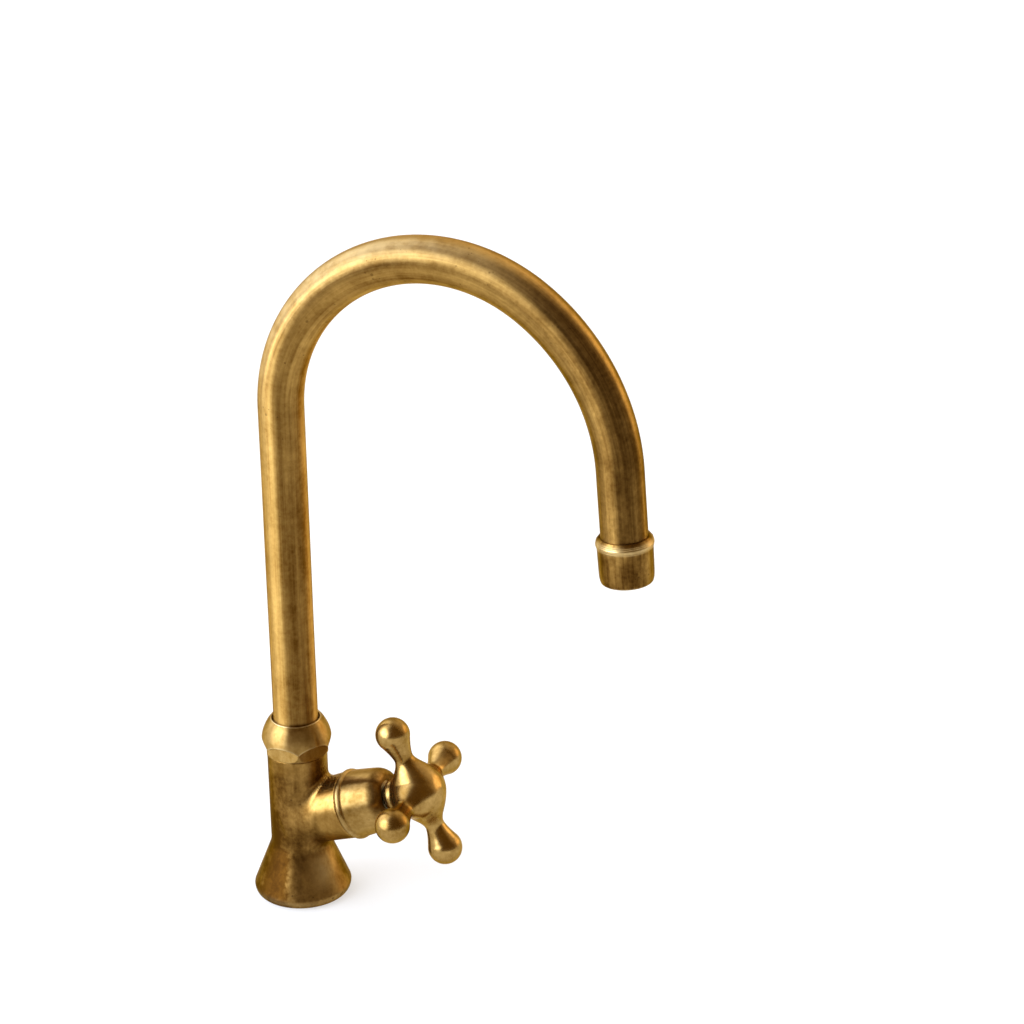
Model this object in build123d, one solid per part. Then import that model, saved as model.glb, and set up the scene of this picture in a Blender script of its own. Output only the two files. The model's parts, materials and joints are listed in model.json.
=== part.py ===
from build123d import *
from math import cos, radians, sin
import os

# Drinking water faucet with a hand-bent gooseneck and a cross-handle quarter-turn valve.
# Millimetres. Origin: centre of the base underside on the counter, +Z up, +X to the outlet.

# Fits, as radial or end gaps
RUN_GAP = 0.05
SEAT_GAP = 0.05
THREAD_GAP = 0.05
FACE_GAP = 0.02

# Body casting
BASE_EDGE_R = 18.7
BASE_R = 20.9
BASE_R_Z = 3.6
NECK_Z = 24.0
NECK_FILLET = 9.0
COLUMN_R = 12.8
COLUMN_TOP_Z = 67.0
BOSS_R = 10.8
BOSS_H = 9.0
BOSS_TOP_Z = COLUMN_TOP_Z + BOSS_H
SOCKET_R = 9.2
SOCKET_DEPTH = 24.0
SOCKET_FLOOR_Z = BOSS_TOP_Z - SOCKET_DEPTH
DECK_SEAL_R = 16.2
DECK_SEAL_BORE_R = 13.2
DECK_SEAL_T = 1.4

# Valve branch: leaves the column at BRANCH_Z, rising by BRANCH_DEG; S is the distance along it
BRANCH_Z = 35.15
BRANCH_DEG = 22.3
BRANCH_ROOT_R = 12.6
BRANCH_R = 14.3
CROTCH_FILLET = 3.0
MOUTH_S = 29.5
NOSE_H = 1.5
NOSE_WALL_R = 12.2
SHOULDER_S = MOUTH_S - NOSE_H
SEAT_R = 4.5
CHAMBER_R = 9.7
CHAMBER_S = 8.5
CHAMBER_H = 9.5
HEAD_THREAD_R = 10.48
HEAD_THREAD_S = CHAMBER_S + CHAMBER_H

# Waterways: the inlet ends at the branch, the outlet passage starts above it
INLET_R = 5.5
INLET_RISE = 0.85
INLET_TOP_Z = BRANCH_Z + INLET_RISE
PASSAGE_R = 3.6
PASSAGE_X = 4.6
PASSAGE_RISE = 6.85
PASSAGE_Z = BRANCH_Z + PASSAGE_RISE

# Shank and clamping set under the counter
SHANK_R = 10.48
SHANK_BORE_R = 6.2
SHANK_IN_BODY = 14.0
SHANK_BELOW = 48.0
RELIEF_Z = 33.0
RELIEF_DEPTH = 0.9
COUNTER_T = 20.0
CLAMP_GASKET_R = 19.0
CLAMP_GASKET_T = 2.0
CLAMP_WASHER_R = 20.0
CLAMP_WASHER_T = 1.5
CLAMP_GAP = 0.4
BACK_NUT_AF = 30.0
BACK_NUT_H = 8.0

# Swivel of the spout, stacked on the boss: washer, spigot flange, split ring
SWIVEL_WASHER_T = 1.0
FLANGE_R = 10.5
FLANGE_Z = BOSS_TOP_Z + SWIVEL_WASHER_T
FLANGE_T = 1.6
RETAINER_T = 1.4
SPIGOT_BORE_R = 5.6
SPIGOT_IN_TUBE = 10.0
SPIGOT_CLEAR = 2.0
SPIGOT_FOOT_Z = SOCKET_FLOOR_Z + SPIGOT_CLEAR
SEAL_CORD = 1.8
SEAL_DEPTH = 1.4
SEAL_PITCH = 8.0
LOWER_SEAL_Z = SPIGOT_FOOT_Z + 6.0
SPOUT_SEAL_Z = (LOWER_SEAL_Z, LOWER_SEAL_Z + SEAL_PITCH)

# Gooseneck tube: 19 mm drawn brass, bent over two formers
TUBE_R = 9.5
TUBE_WALL = 1.2
TUBE_BORE_R = TUBE_R - TUBE_WALL
TUBE_FOOT_Z = FLANGE_Z + FLANGE_T
RISER_LEN = 144.3
BEND_START_Z = TUBE_FOOT_Z + RISER_LEN
BEND_1_R = 70.5
BEND_1_DEG = 124.3
BEND_2_R = 84.3
BEND_2_DEG = 51.8
TAIL_LEN = 45.7

# Domed spout nut, its heights from the top of the column
NUT_FLATS = 25.5
NUT_FOOT_R = 13.3
NUT_DOME_R = 14.85
NUT_H = 15.6
NUT_TOP_Z = COLUMN_TOP_Z + NUT_H
NUT_TOP_R = 11.0
NUT_RIM_R = 10.3
NUT_SHOULDER_Z = TUBE_FOOT_Z + RETAINER_T
NUT_TUBE_GAP = 0.35
NUT_EDGE_Z = COLUMN_TOP_Z + 3.0
NUT_BELLY_Z = COLUMN_TOP_Z + 6.4
ARCH_CORNER_Z = COLUMN_TOP_Z + 3.6
ARCH_TOP_Z = COLUMN_TOP_Z + 7.0

# Outlet collar and its aerator, measured down the tail from the end of the bend
COLLAR_R = 11.1
COLLAR_BEAD_R = 11.65
COLLAR_BEAD_H = 4.3
COLLAR_SHOULDER_R = 10.5
COLLAR_EDGE = 1.3
TUBE_IN_COLLAR = 8.7
AERATOR_R = 9.7
AERATOR_WALL = 1.4
AERATOR_LEDGE = 1.6
AERATOR_RECESS = 0.6
AERATOR_WASHER_T = 1.2
AERATOR_WASHER_BORE_R = 7.4
INSERT_GAP = 0.2
FLOW_INSERT_H = 4.4
SCREEN_H = 2.4
SCREEN_T = 0.8
AERATOR_FOOT = TAIL_LEN - AERATOR_RECESS
SCREEN_FOOT = AERATOR_FOOT - AERATOR_LEDGE
INSERT_FOOT = SCREEN_FOOT - SCREEN_H
INSERT_TOP = INSERT_FOOT - FLOW_INSERT_H
AERATOR_TOP = INSERT_TOP - INSERT_GAP
COLLAR_STEP = AERATOR_TOP - AERATOR_WASHER_T
COLLAR_TOP = COLLAR_STEP - TUBE_IN_COLLAR

# Bonnet over the headwork: its bead butts against the shoulder of the branch
BONNET_SEAL_T = 0.8
HEX_S = MOUTH_S + BONNET_SEAL_T
BONNET_S = SHOULDER_S + FACE_GAP
BEAD_R = 15.1
BEAD_H = 2.9
BONNET_R = 14.5
BONNET_TAPER = 1.0
BONNET_BORE_R = 12.4
BONNET_END_R = 9.2
BONNET_REACH = 17.0
BONNET_END_S = HEX_S + BONNET_REACH
ROUNDING_H = 5.8

# Headwork and its quarter-turn discs, stacked from the chamber floor
SEAT_SEAL_T = 2.5
FIXED_DISC_R = 6.55
FIXED_DISC_T = 2.6
MOVING_DISC_R = 6.3
MOVING_DISC_T = 2.38
PORT_PITCH_R = 3.5
PORT_W = 2.4
DRIVE_R = 6.2
DRIVE_T = 5.98
SLIP_WASHER_T = 1.9
NOSE_R = 8.3
NOSE_BORE_R = 6.6
NOSE_START = 2.1
WINDOW_W = 7.0
WINDOW_H = 3.0
FIXED_DISC_S = CHAMBER_S + SEAT_SEAL_T
MOVING_DISC_S = FIXED_DISC_S + FIXED_DISC_T + FACE_GAP
DRIVE_S = MOVING_DISC_S + MOVING_DISC_T + FACE_GAP
SLIP_WASHER_S = DRIVE_S + DRIVE_T + SEAT_GAP
SLIP_END_S = SLIP_WASHER_S + SLIP_WASHER_T + SEAT_GAP
HEX_FLATS = 22.0
HEX_R = 12.0
HEX_T = 3.7
HEX_END_S = HEX_S + HEX_T
HEAD_NECK_R = 7.5
HEAD_RECESS = 1.4
HEAD_NECK_S = BONNET_END_S - HEAD_RECESS

# Spindle
STEM_R = 4.25
STEM_SEAL_R = 3.2
STEM_SEAL_H = 2.2
STEM_SEAL_S = (SLIP_END_S + 5.0, HEAD_NECK_S - 4.4)
CLIP_R = 5.6
CLIP_GROOVE_R = 3.4
CLIP_GROOVE_H = 0.7
CLIP_S = HEAD_NECK_S + 0.2
STEM_END_S = CLIP_S + 1.0
SQUARE_W = 5.2
SQUARE_GAP = 0.4

# Handle: HUB_S is the plane of the arms
HANDLE_GAP = 1.0
HUB_REAR_S = BONNET_END_S + HANDLE_GAP
HUB_REACH = 13.3
HUB_S = HUB_REAR_S + HUB_REACH
HUB_CROWN = 11.4
HUB_FRONT_S = HUB_S + HUB_CROWN
HUB_REAR_R = 7.2
HUB_FLARE_S = HUB_REAR_S + 2.0
HUB_R = 11.6
ARM_LEN = 27.74
ARM_ROOT_R = 5.6
ARM_WAIST_R = 4.1
BALL_R = 7.3
BALL_FOOT_R = 6.3
BALL_JOIN = ARM_LEN - (BALL_R**2 - BALL_FOOT_R**2) ** 0.5
HANDLE_FILLET = 8.0
REST_DEG = 4.1
SQUARE_DEPTH = 12.0
SQUARE_END_S = HUB_REAR_S + SQUARE_DEPTH
GRUB_R = 1.5
GRUB_S = HUB_REAR_S + SQUARE_DEPTH / 2

branch = Plane(
    origin=(0, 0, BRANCH_Z),
    x_dir=(0, 1, 0),
    z_dir=(cos(radians(BRANCH_DEG)), 0, sin(radians(BRANCH_DEG))),
)


def turned(*outline):
    """Solid of revolution about Z from (radius, height) corners, given round the outline."""
    face = make_face(Polyline(*[(r, 0, z) for r, z in outline], close=True))
    return revolve(face, Axis.Z)


def ring(outer, inner, low, high):
    """Plain ring about Z between two heights."""
    return turned((inner, low), (outer, low), (outer, high), (inner, high))


def rod(radius, low, high):
    """Plain cylinder about Z between two heights."""
    return Pos(0, 0, low) * extrude(Circle(radius), high - low)


def hexagon(flats, low, high):
    """Hexagonal prism about Z, a corner on +X."""
    return Pos(0, 0, low) * extrude(RegularPolygon(flats / 2, 6, major_radius=False), high - low)


# Spout
def spout_path():
    """Centre line of the tube from its foot to the end of the straight tail."""
    foot = (0, 0, TUBE_FOOT_Z)
    start = (0, 0, BEND_START_Z)
    a1 = radians(BEND_1_DEG)
    a2 = radians(BEND_1_DEG + BEND_2_DEG)
    c1 = (BEND_1_R, BEND_START_Z)
    shift = BEND_2_R - BEND_1_R
    c2 = (c1[0] + shift * cos(a1), c1[1] - shift * sin(a1))

    def on(c, r, a):
        return (c[0] - r * cos(a), 0, c[1] + r * sin(a))

    mid = on(c1, BEND_1_R, a1)
    end = on(c2, BEND_2_R, a2)
    bend_1 = ThreePointArc(start, on(c1, BEND_1_R, a1 / 2), mid)
    bend_2 = ThreePointArc(mid, on(c2, BEND_2_R, (a1 + a2) / 2), end)
    way = (sin(a2), 0, cos(a2))
    tail_len = COLLAR_TOP + TUBE_IN_COLLAR
    tip = (end[0] + way[0] * tail_len, 0, end[2] + way[2] * tail_len)
    return Line(foot, start), bend_1, bend_2, Line(end, tip), end, way


riser_line, bend_1, bend_2, tail_line, bend_end, tail_way = spout_path()
tail = Plane(origin=bend_end, x_dir=(0, 1, 0), z_dir=tail_way)


def make_spout_tube():
    wire = Wire([riser_line.edge(), bend_1.edge(), bend_2.edge(), tail_line.edge()])
    section = Circle(TUBE_R) - Circle(TUBE_BORE_R)
    return sweep(Pos(0, 0, TUBE_FOOT_Z) * section, path=wire)


def make_outlet_collar():
    """Turned sleeve brazed on the tube end: sloped shoulder, ridge and bead, bore for the aerator."""
    top = COLLAR_TOP
    body = turned(
        (TUBE_R, top),
        (COLLAR_SHOULDER_R - 0.3, top),
        (COLLAR_SHOULDER_R, top + 0.3),
        (COLLAR_BEAD_R - 0.45, top + 1.2),
        (COLLAR_BEAD_R - 0.45, top + 1.5),
        (COLLAR_BEAD_R - 0.6, top + 1.7),
        (COLLAR_BEAD_R, top + 2.2),
        (COLLAR_BEAD_R, top + COLLAR_BEAD_H - 0.7),
        (COLLAR_R, top + COLLAR_BEAD_H),
        (COLLAR_R, TAIL_LEN),
        (AERATOR_R, TAIL_LEN),
        (AERATOR_R, COLLAR_STEP),
        (TUBE_R, COLLAR_STEP),
    )
    rim = body.edges().filter_by(GeomType.CIRCLE)
    outer_rim = [e for e in rim if abs(e.radius - COLLAR_R) < 0.01 and e.center().Z > TAIL_LEN - 0.1]
    return tail * fillet(outer_rim, COLLAR_EDGE)


def make_aerator_housing():
    """Threaded cage of the aerator, with an inner ledge for the screens and two key notches."""
    outer = AERATOR_R - THREAD_GAP
    bore = outer - AERATOR_WALL
    cage = turned(
        (bore, AERATOR_TOP),
        (outer, AERATOR_TOP),
        (outer, AERATOR_FOOT),
        (bore - 1.0, AERATOR_FOOT),
        (bore - 1.0, SCREEN_FOOT),
        (bore, SCREEN_FOOT),
    )
    notch = Pos(0, 0, AERATOR_FOOT) * Box(2 * outer + 2, 2.0, AERATOR_LEDGE)
    return tail * (cage - notch)


def make_aerator_screen():
    """Stack of the mesh carrier: a thin ringed plate with a field of round holes."""
    foot = SCREEN_FOOT
    radius = AERATOR_R - THREAD_GAP - AERATOR_WALL - SEAT_GAP
    plate = rod(radius, foot - SCREEN_T, foot)
    for count, pitch_r in ((1, 0.0), (6, 3.0), (12, 5.9)):
        for k in range(count):
            a = radians(360 / count * k)
            plate -= Pos(pitch_r * cos(a), pitch_r * sin(a), 0) * rod(0.85, foot - SCREEN_T - 0.2, foot + 0.2)
    plate += ring(radius, radius - 0.9, INSERT_FOOT, foot - SCREEN_T)
    return tail * plate


def make_flow_insert():
    """Plastic flow plate above the screen: a dished disc with a ring of jet holes."""
    foot = INSERT_FOOT
    radius = AERATOR_R - THREAD_GAP - AERATOR_WALL - SEAT_GAP
    top = INSERT_TOP
    disc = turned(
        (0, foot),
        (radius, foot),
        (radius, top),
        (radius - 1.2, top),
        (3.0, foot - 1.2),
        (0, foot - 1.2),
    )
    for k in range(8):
        a = radians(45 * k)
        disc -= Pos(5.2 * cos(a), 5.2 * sin(a), 0) * rod(0.6, top - 1, foot + 1)
    return tail * disc


def make_aerator_washer():
    return tail * ring(AERATOR_R - 0.1, AERATOR_WASHER_BORE_R, COLLAR_STEP, AERATOR_TOP)


def make_spout_spigot():
    """Turned spigot brazed in the tube foot: flange on the swivel washer, two seal grooves below."""
    barrel_r = SOCKET_R - RUN_GAP
    groove_r = SOCKET_R - SEAL_DEPTH
    bore_r = SPIGOT_BORE_R
    flange_top = FLANGE_Z + FLANGE_T
    spigot = turned(
        (bore_r, SPIGOT_FOOT_Z),
        (barrel_r - 0.8, SPIGOT_FOOT_Z),
        (barrel_r, SPIGOT_FOOT_Z + 0.8),
        (barrel_r, FLANGE_Z),
        (FLANGE_R, FLANGE_Z),
        (FLANGE_R, flange_top),
        (TUBE_BORE_R, flange_top),
        (TUBE_BORE_R, flange_top + SPIGOT_IN_TUBE),
        (bore_r, flange_top + SPIGOT_IN_TUBE),
    )
    for z in SPOUT_SEAL_Z:
        half = SEAL_CORD * 0.65
        spigot -= ring(barrel_r + 1, groove_r, z - half, z + half)
    return spigot


def make_spout_seals():
    """Two seals, pressed oval between groove floor and socket wall."""
    groove_r = SOCKET_R - SEAL_DEPTH
    seals = []
    for z in SPOUT_SEAL_Z:
        inner = groove_r + 0.01
        outer = SOCKET_R - 0.01
        half = SEAL_CORD * 0.55
        seals.append(
            turned(
                (inner, z - half + 0.4),
                (inner + 0.4, z - half),
                (outer - 0.4, z - half),
                (outer, z - half + 0.4),
                (outer, z + half - 0.4),
                (outer - 0.4, z + half),
                (inner + 0.4, z + half),
                (inner, z + half - 0.4),
            )
        )
    return Compound(seals)


# Body
def make_valve_body():
    """Cast tee: flared base, column, threaded boss and the valve branch, with its waterways."""
    half_way = ((BASE_EDGE_R + BASE_R) / 2 + 0.75, BASE_R_Z / 2 - 0.75)
    edge = ThreePointArc((BASE_EDGE_R, 0, 0), (half_way[0], 0, half_way[1]), (BASE_R, 0, BASE_R_Z))
    outline = [
        Line((0, 0, 0), (BASE_EDGE_R, 0, 0)),
        edge,
        Line((BASE_R, 0, BASE_R_Z), (COLUMN_R, 0, NECK_Z)),
        Line((COLUMN_R, 0, NECK_Z), (COLUMN_R, 0, COLUMN_TOP_Z)),
        Line((COLUMN_R, 0, COLUMN_TOP_Z), (BOSS_R, 0, COLUMN_TOP_Z)),
        Line((BOSS_R, 0, COLUMN_TOP_Z), (BOSS_R, 0, BOSS_TOP_Z)),
        Line((BOSS_R, 0, BOSS_TOP_Z), (0, 0, BOSS_TOP_Z)),
        Line((0, 0, BOSS_TOP_Z), (0, 0, 0)),
    ]
    upright = revolve(make_face(Wire([w.edge() for w in outline])), Axis.Z)
    neck = [
        e
        for e in upright.edges().filter_by(GeomType.CIRCLE)
        if abs(e.center().Z - NECK_Z) < 0.01
    ]
    upright = fillet(neck, NECK_FILLET)
    arm = branch * turned(
        (0, 0),
        (BRANCH_ROOT_R, 0),
        (BRANCH_R, SHOULDER_S - 0.3),
        (BRANCH_R - 0.3, SHOULDER_S),
        (0, SHOULDER_S),
    )
    cast = upright + arm
    crotch = [e for e in cast.edges() if e.geom_type not in (GeomType.CIRCLE, GeomType.LINE)]
    cast = fillet(crotch, CROTCH_FILLET)
    cast += branch * rod(NOSE_WALL_R, SHOULDER_S - 1, MOUTH_S)
    cast -= rod(SHANK_R + THREAD_GAP, -1, SHANK_IN_BODY)
    cast -= rod(INLET_R, 0, INLET_TOP_Z)
    cast -= rod(SOCKET_R, SOCKET_FLOOR_Z, BOSS_TOP_Z + 1)
    cast -= Pos(PASSAGE_X, 0, 0) * rod(PASSAGE_R, PASSAGE_Z, SOCKET_FLOOR_Z + 1)
    cast -= branch * rod(SEAT_R, -1, CHAMBER_S + 1)
    cast -= branch * rod(CHAMBER_R, CHAMBER_S, HEAD_THREAD_S + 1)
    cast -= branch * rod(HEAD_THREAD_R + THREAD_GAP, HEAD_THREAD_S, MOUTH_S + 1)
    cast -= ring(DECK_SEAL_R, DECK_SEAL_BORE_R, -1, DECK_SEAL_T)
    return cast


def make_deck_seal():
    """Flat rubber ring filling the groove under the base."""
    return ring(DECK_SEAL_R - SEAT_GAP, DECK_SEAL_BORE_R + SEAT_GAP, 0, DECK_SEAL_T)


def make_shank():
    """Threaded tail pipe, screwed up into the base; the supply line joins its lower end."""
    pipe = ring(SHANK_R, SHANK_BORE_R, -SHANK_BELOW, SHANK_IN_BODY - SEAT_GAP)
    pipe -= ring(SHANK_R + 1, SHANK_R - RELIEF_DEPTH, -RELIEF_Z - 1.5, -RELIEF_Z)
    ends = [e for e in pipe.edges().filter_by(GeomType.CIRCLE) if abs(e.radius - SHANK_R) < 0.01]
    return chamfer(ends, 0.8)


def make_clamp_gasket():
    top = -COUNTER_T
    return ring(CLAMP_GASKET_R, SHANK_R + CLAMP_GAP, top - CLAMP_GASKET_T, top)


def make_clamp_washer():
    top = -COUNTER_T - CLAMP_GASKET_T
    plate = ring(CLAMP_WASHER_R, SHANK_R + CLAMP_GAP, top - CLAMP_WASHER_T, top)
    rims = [e for e in plate.edges().filter_by(GeomType.CIRCLE) if e.radius > CLAMP_WASHER_R - 0.01]
    return fillet(rims, 0.4)


def make_back_nut():
    """Hexagonal back nut, its corners turned off on both faces, with a raised seat."""
    top = -COUNTER_T - CLAMP_GASKET_T - CLAMP_WASHER_T
    low = top - BACK_NUT_H
    corner_r = BACK_NUT_AF / 3**0.5
    flats_r = BACK_NUT_AF / 2
    blank = turned(
        (0, low),
        (flats_r, low),
        (corner_r + 0.2, low + 1.6),
        (corner_r + 0.2, top - 2.2),
        (flats_r, top - 0.6),
        (flats_r - 0.6, top),
        (0, top),
    )
    nut = blank & hexagon(BACK_NUT_AF, low, top)
    return nut - rod(SHANK_R + THREAD_GAP, low - 1, top + 1)


def make_spout_nut():
    """Domed nut: a turned dome above six wrench flats that end under arched brows."""
    low = COLUMN_TOP_Z
    dome_edge = Spline(
        (NUT_DOME_R - 0.1, 0, NUT_EDGE_Z),
        (NUT_DOME_R, 0, NUT_BELLY_Z),
        (NUT_DOME_R - 0.4, 0, NUT_BELLY_Z + 3.0),
        (NUT_DOME_R - 1.25, 0, NUT_TOP_Z - 3.4),
        (NUT_TOP_R + 1.3, 0, NUT_TOP_Z - 1.2),
        (NUT_TOP_R, 0, NUT_TOP_Z),
        tangents=[(0.08, 0, 1), (-1.2, 0, 0.9)],
    )
    outline = [
        Line((0, 0, low), (NUT_FOOT_R, 0, low)),
        Line((NUT_FOOT_R, 0, low), (NUT_DOME_R - 0.1, 0, low + 1.0)),
        Line((NUT_DOME_R - 0.1, 0, low + 1.0), (NUT_DOME_R - 0.1, 0, NUT_EDGE_Z)),
        dome_edge,
        Line((NUT_TOP_R, 0, NUT_TOP_Z), (0, 0, NUT_TOP_Z)),
        Line((0, 0, NUT_TOP_Z), (0, 0, low)),
    ]
    nut = revolve(make_face(Wire([w.edge() for w in outline])), Axis.Z)
    half = NUT_FLATS / 2 / 3**0.5
    reach = half + 0.7
    arch = make_face(
        Wire(
            [
                Line((-reach, low - 1, 0), (reach, low - 1, 0)).edge(),
                Line((reach, low - 1, 0), (reach, ARCH_CORNER_Z - 0.4, 0)).edge(),
                ThreePointArc(
                    (reach, ARCH_CORNER_Z - 0.4, 0), (0, ARCH_TOP_Z, 0), (-reach, ARCH_CORNER_Z - 0.4, 0)
                ).edge(),
                Line((-reach, ARCH_CORNER_Z - 0.4, 0), (-reach, low - 1, 0)).edge(),
            ]
        )
    )
    for k in range(6):
        turn = 30 + 60 * k
        a = radians(turn)
        out = (cos(a), sin(a), 0)
        plane = Plane(
            origin=(out[0] * NUT_FLATS / 2, out[1] * NUT_FLATS / 2, 0),
            x_dir=(-sin(a), cos(a), 0),
            z_dir=out,
        )
        nut -= plane * extrude(arch, 6)
    nut -= rod(BOSS_R + THREAD_GAP, low - 1, NUT_SHOULDER_Z)
    nut -= rod(TUBE_R + NUT_TUBE_GAP, low, NUT_TOP_Z + 1)
    nut -= turned((TUBE_R, NUT_TOP_Z - 0.6), (NUT_RIM_R, NUT_TOP_Z + 0.05), (TUBE_R, NUT_TOP_Z + 0.05))
    return nut


def make_swivel_washer():
    """Low-friction washer between the boss and the spigot flange."""
    return ring(FLANGE_R, SOCKET_R + 0.1, BOSS_TOP_Z, FLANGE_Z - FACE_GAP)


def make_retaining_ring():
    """Split ring over the spigot flange that the nut bears on."""
    low = TUBE_FOOT_Z + FACE_GAP
    hoop = ring(FLANGE_R, TUBE_R + 0.15, low, NUT_SHOULDER_Z)
    return hoop - Pos(-FLANGE_R, 0, low) * Box(4, 1.2, 6)


# Valve
def make_cartridge_body():
    """Headwork: windowed nose, threaded barrel, hexagonal flange and a neck round the spindle."""
    nose_s = CHAMBER_S + NOSE_START
    window_s = FIXED_DISC_S + FIXED_DISC_T + 2.8
    bore_r = STEM_R + RUN_GAP
    shell = turned(
        (NOSE_BORE_R, nose_s),
        (NOSE_R, nose_s),
        (NOSE_R, HEAD_THREAD_S - 1.0),
        (HEAD_THREAD_R - 1.08, HEAD_THREAD_S + 0.1),
        (HEAD_THREAD_R, HEAD_THREAD_S + 1.2),
        (HEAD_THREAD_R, HEX_S),
        (HEX_R, HEX_S),
        (HEX_R, HEX_END_S),
        (HEAD_NECK_R, HEX_END_S),
        (HEAD_NECK_R, HEAD_NECK_S),
        (bore_r, HEAD_NECK_S),
        (bore_r, SLIP_END_S),
        (NOSE_BORE_R, SLIP_END_S),
    )
    barrel = rod(HEAD_THREAD_R + 0.5, 0, HEX_S)
    neck = rod(HEAD_NECK_R + 0.5, HEX_END_S, HEAD_NECK_S + 1)
    shell = shell & (barrel + hexagon(HEX_FLATS, HEX_S, HEX_END_S) + neck)
    for side in (0, 180):
        shell -= Rot(0, 0, side) * Pos(NOSE_R - 0.3, 0, window_s) * Box(6, WINDOW_W, WINDOW_H)
    return branch * shell


def disc(outer, low, high, lobes):
    """Ceramic disc with two kidney ports, set by the given angle."""
    plate = rod(outer, low, high)
    for side in (0, 180):
        port = SlotArc(CenterArc((0, 0), PORT_PITCH_R, side + lobes - 28, 56), PORT_W)
        plate -= Pos(0, 0, low - 1) * extrude(port, high - low + 2)
    return plate


def make_seat_seal():
    """Rubber ring between the valve seat and the fixed disc."""
    return branch * ring(NOSE_BORE_R - 0.2, SEAT_R + 0.1, CHAMBER_S, FIXED_DISC_S)


def make_fixed_disc():
    return branch * disc(FIXED_DISC_R, FIXED_DISC_S, FIXED_DISC_S + FIXED_DISC_T, 0)


def make_moving_disc():
    return branch * disc(MOVING_DISC_R, MOVING_DISC_S, MOVING_DISC_S + MOVING_DISC_T, 90 - REST_DEG)


def make_spindle():
    """Turned spindle: drive plate over the moving disc, seal groove, square end in the handle."""
    stem = turned(
        (0, DRIVE_S),
        (DRIVE_R, DRIVE_S),
        (DRIVE_R, DRIVE_S + DRIVE_T),
        (STEM_R, DRIVE_S + DRIVE_T),
        (STEM_R, STEM_END_S),
        (0, STEM_END_S),
    )
    for s in STEM_SEAL_S:
        stem -= ring(STEM_R + 2, STEM_SEAL_R, s - STEM_SEAL_H / 2, s + STEM_SEAL_H / 2)
    stem -= ring(STEM_R + 2, CLIP_GROOVE_R, CLIP_S, CLIP_S + CLIP_GROOVE_H)
    square_len = SQUARE_END_S - SQUARE_GAP - STEM_END_S
    stem += Rot(0, 0, REST_DEG) * Pos(0, 0, STEM_END_S) * extrude(Rectangle(SQUARE_W, SQUARE_W), square_len)
    for side in (0, 180):
        slot = Rot(0, 0, side - REST_DEG) * Pos(DRIVE_R - 0.8, 0, DRIVE_S + 1.48) * Box(4, 6.4, 3.4)
        stem -= slot
    return branch * stem


def make_spindle_seals():
    """Two seals in the spindle grooves."""
    outer = STEM_R + 0.04
    half = STEM_SEAL_H / 2 - 0.3
    seals = [ring(outer, STEM_SEAL_R + 0.05, s - half, s + half) for s in STEM_SEAL_S]
    return branch * Compound(seals)


def make_spindle_clip():
    """Open spring clip in the spindle's end groove, outside the headwork."""
    clip = ring(CLIP_R, CLIP_GROOVE_R + 0.05, CLIP_S + 0.05, CLIP_S + CLIP_GROOVE_H - 0.05)
    return branch * (clip - Pos(0, -5, CLIP_S + 0.4) * Box(3.0, 6, 2))


def make_slip_washer():
    """Thin washer between the drive plate and the headwork."""
    return branch * ring(NOSE_BORE_R - 0.2, STEM_R + 0.15, SLIP_WASHER_S, SLIP_WASHER_S + SLIP_WASHER_T)


def make_bonnet_seal():
    """Fibre washer between the branch mouth and the headwork flange."""
    return branch * ring(HEX_R + 0.2, HEAD_THREAD_R + 0.1, MOUTH_S, HEX_S)


def make_bonnet():
    """Smooth cover screwed over the headwork: bead, short barrel, round shoulder, flat end."""
    inner_r = BONNET_BORE_R
    waist_r = BONNET_R - BONNET_TAPER
    bore_r = HEAD_NECK_R + RUN_GAP
    bead_mid = BONNET_S + BEAD_H / 2
    rounding_s = BONNET_END_S - ROUNDING_H
    bead = ThreePointArc(
        (BONNET_R, 0, BONNET_S + 0.15), (BEAD_R, 0, bead_mid), (BONNET_R, 0, BONNET_S + BEAD_H - 0.15)
    )
    rounding = Spline(
        (waist_r, 0, rounding_s),
        (waist_r - 0.45, 0, BONNET_END_S - 3.1),
        (waist_r - 1.95, 0, BONNET_END_S - 0.95),
        (BONNET_END_R, 0, BONNET_END_S),
        tangents=[(-0.06, 0, 1), (-1, 0, 0.25)],
    )
    outline = [
        Line((inner_r, 0, BONNET_S), (BONNET_R - 0.5, 0, BONNET_S)),
        Line((BONNET_R - 0.5, 0, BONNET_S), (BONNET_R, 0, BONNET_S + 0.15)),
        bead,
        Line((BONNET_R, 0, BONNET_S + BEAD_H - 0.15), (BONNET_R - 0.1, 0, BONNET_S + BEAD_H)),
        Line((BONNET_R - 0.1, 0, BONNET_S + BEAD_H), (waist_r, 0, rounding_s)),
        rounding,
        Line((BONNET_END_R, 0, BONNET_END_S), (bore_r, 0, BONNET_END_S)),
        Line((bore_r, 0, BONNET_END_S), (bore_r, 0, HEX_END_S + 4.0)),
        Line((bore_r, 0, HEX_END_S + 4.0), (BONNET_BORE_R - 2.4, 0, HEX_END_S + 2.0)),
        Line((BONNET_BORE_R - 2.4, 0, HEX_END_S + 2.0), (inner_r, 0, HEX_END_S + 0.8)),
        Line((inner_r, 0, HEX_END_S + 0.8), (inner_r, 0, BONNET_S)),
    ]
    return branch * revolve(make_face(Wire([w.edge() for w in outline])), Axis.Z)


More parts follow.
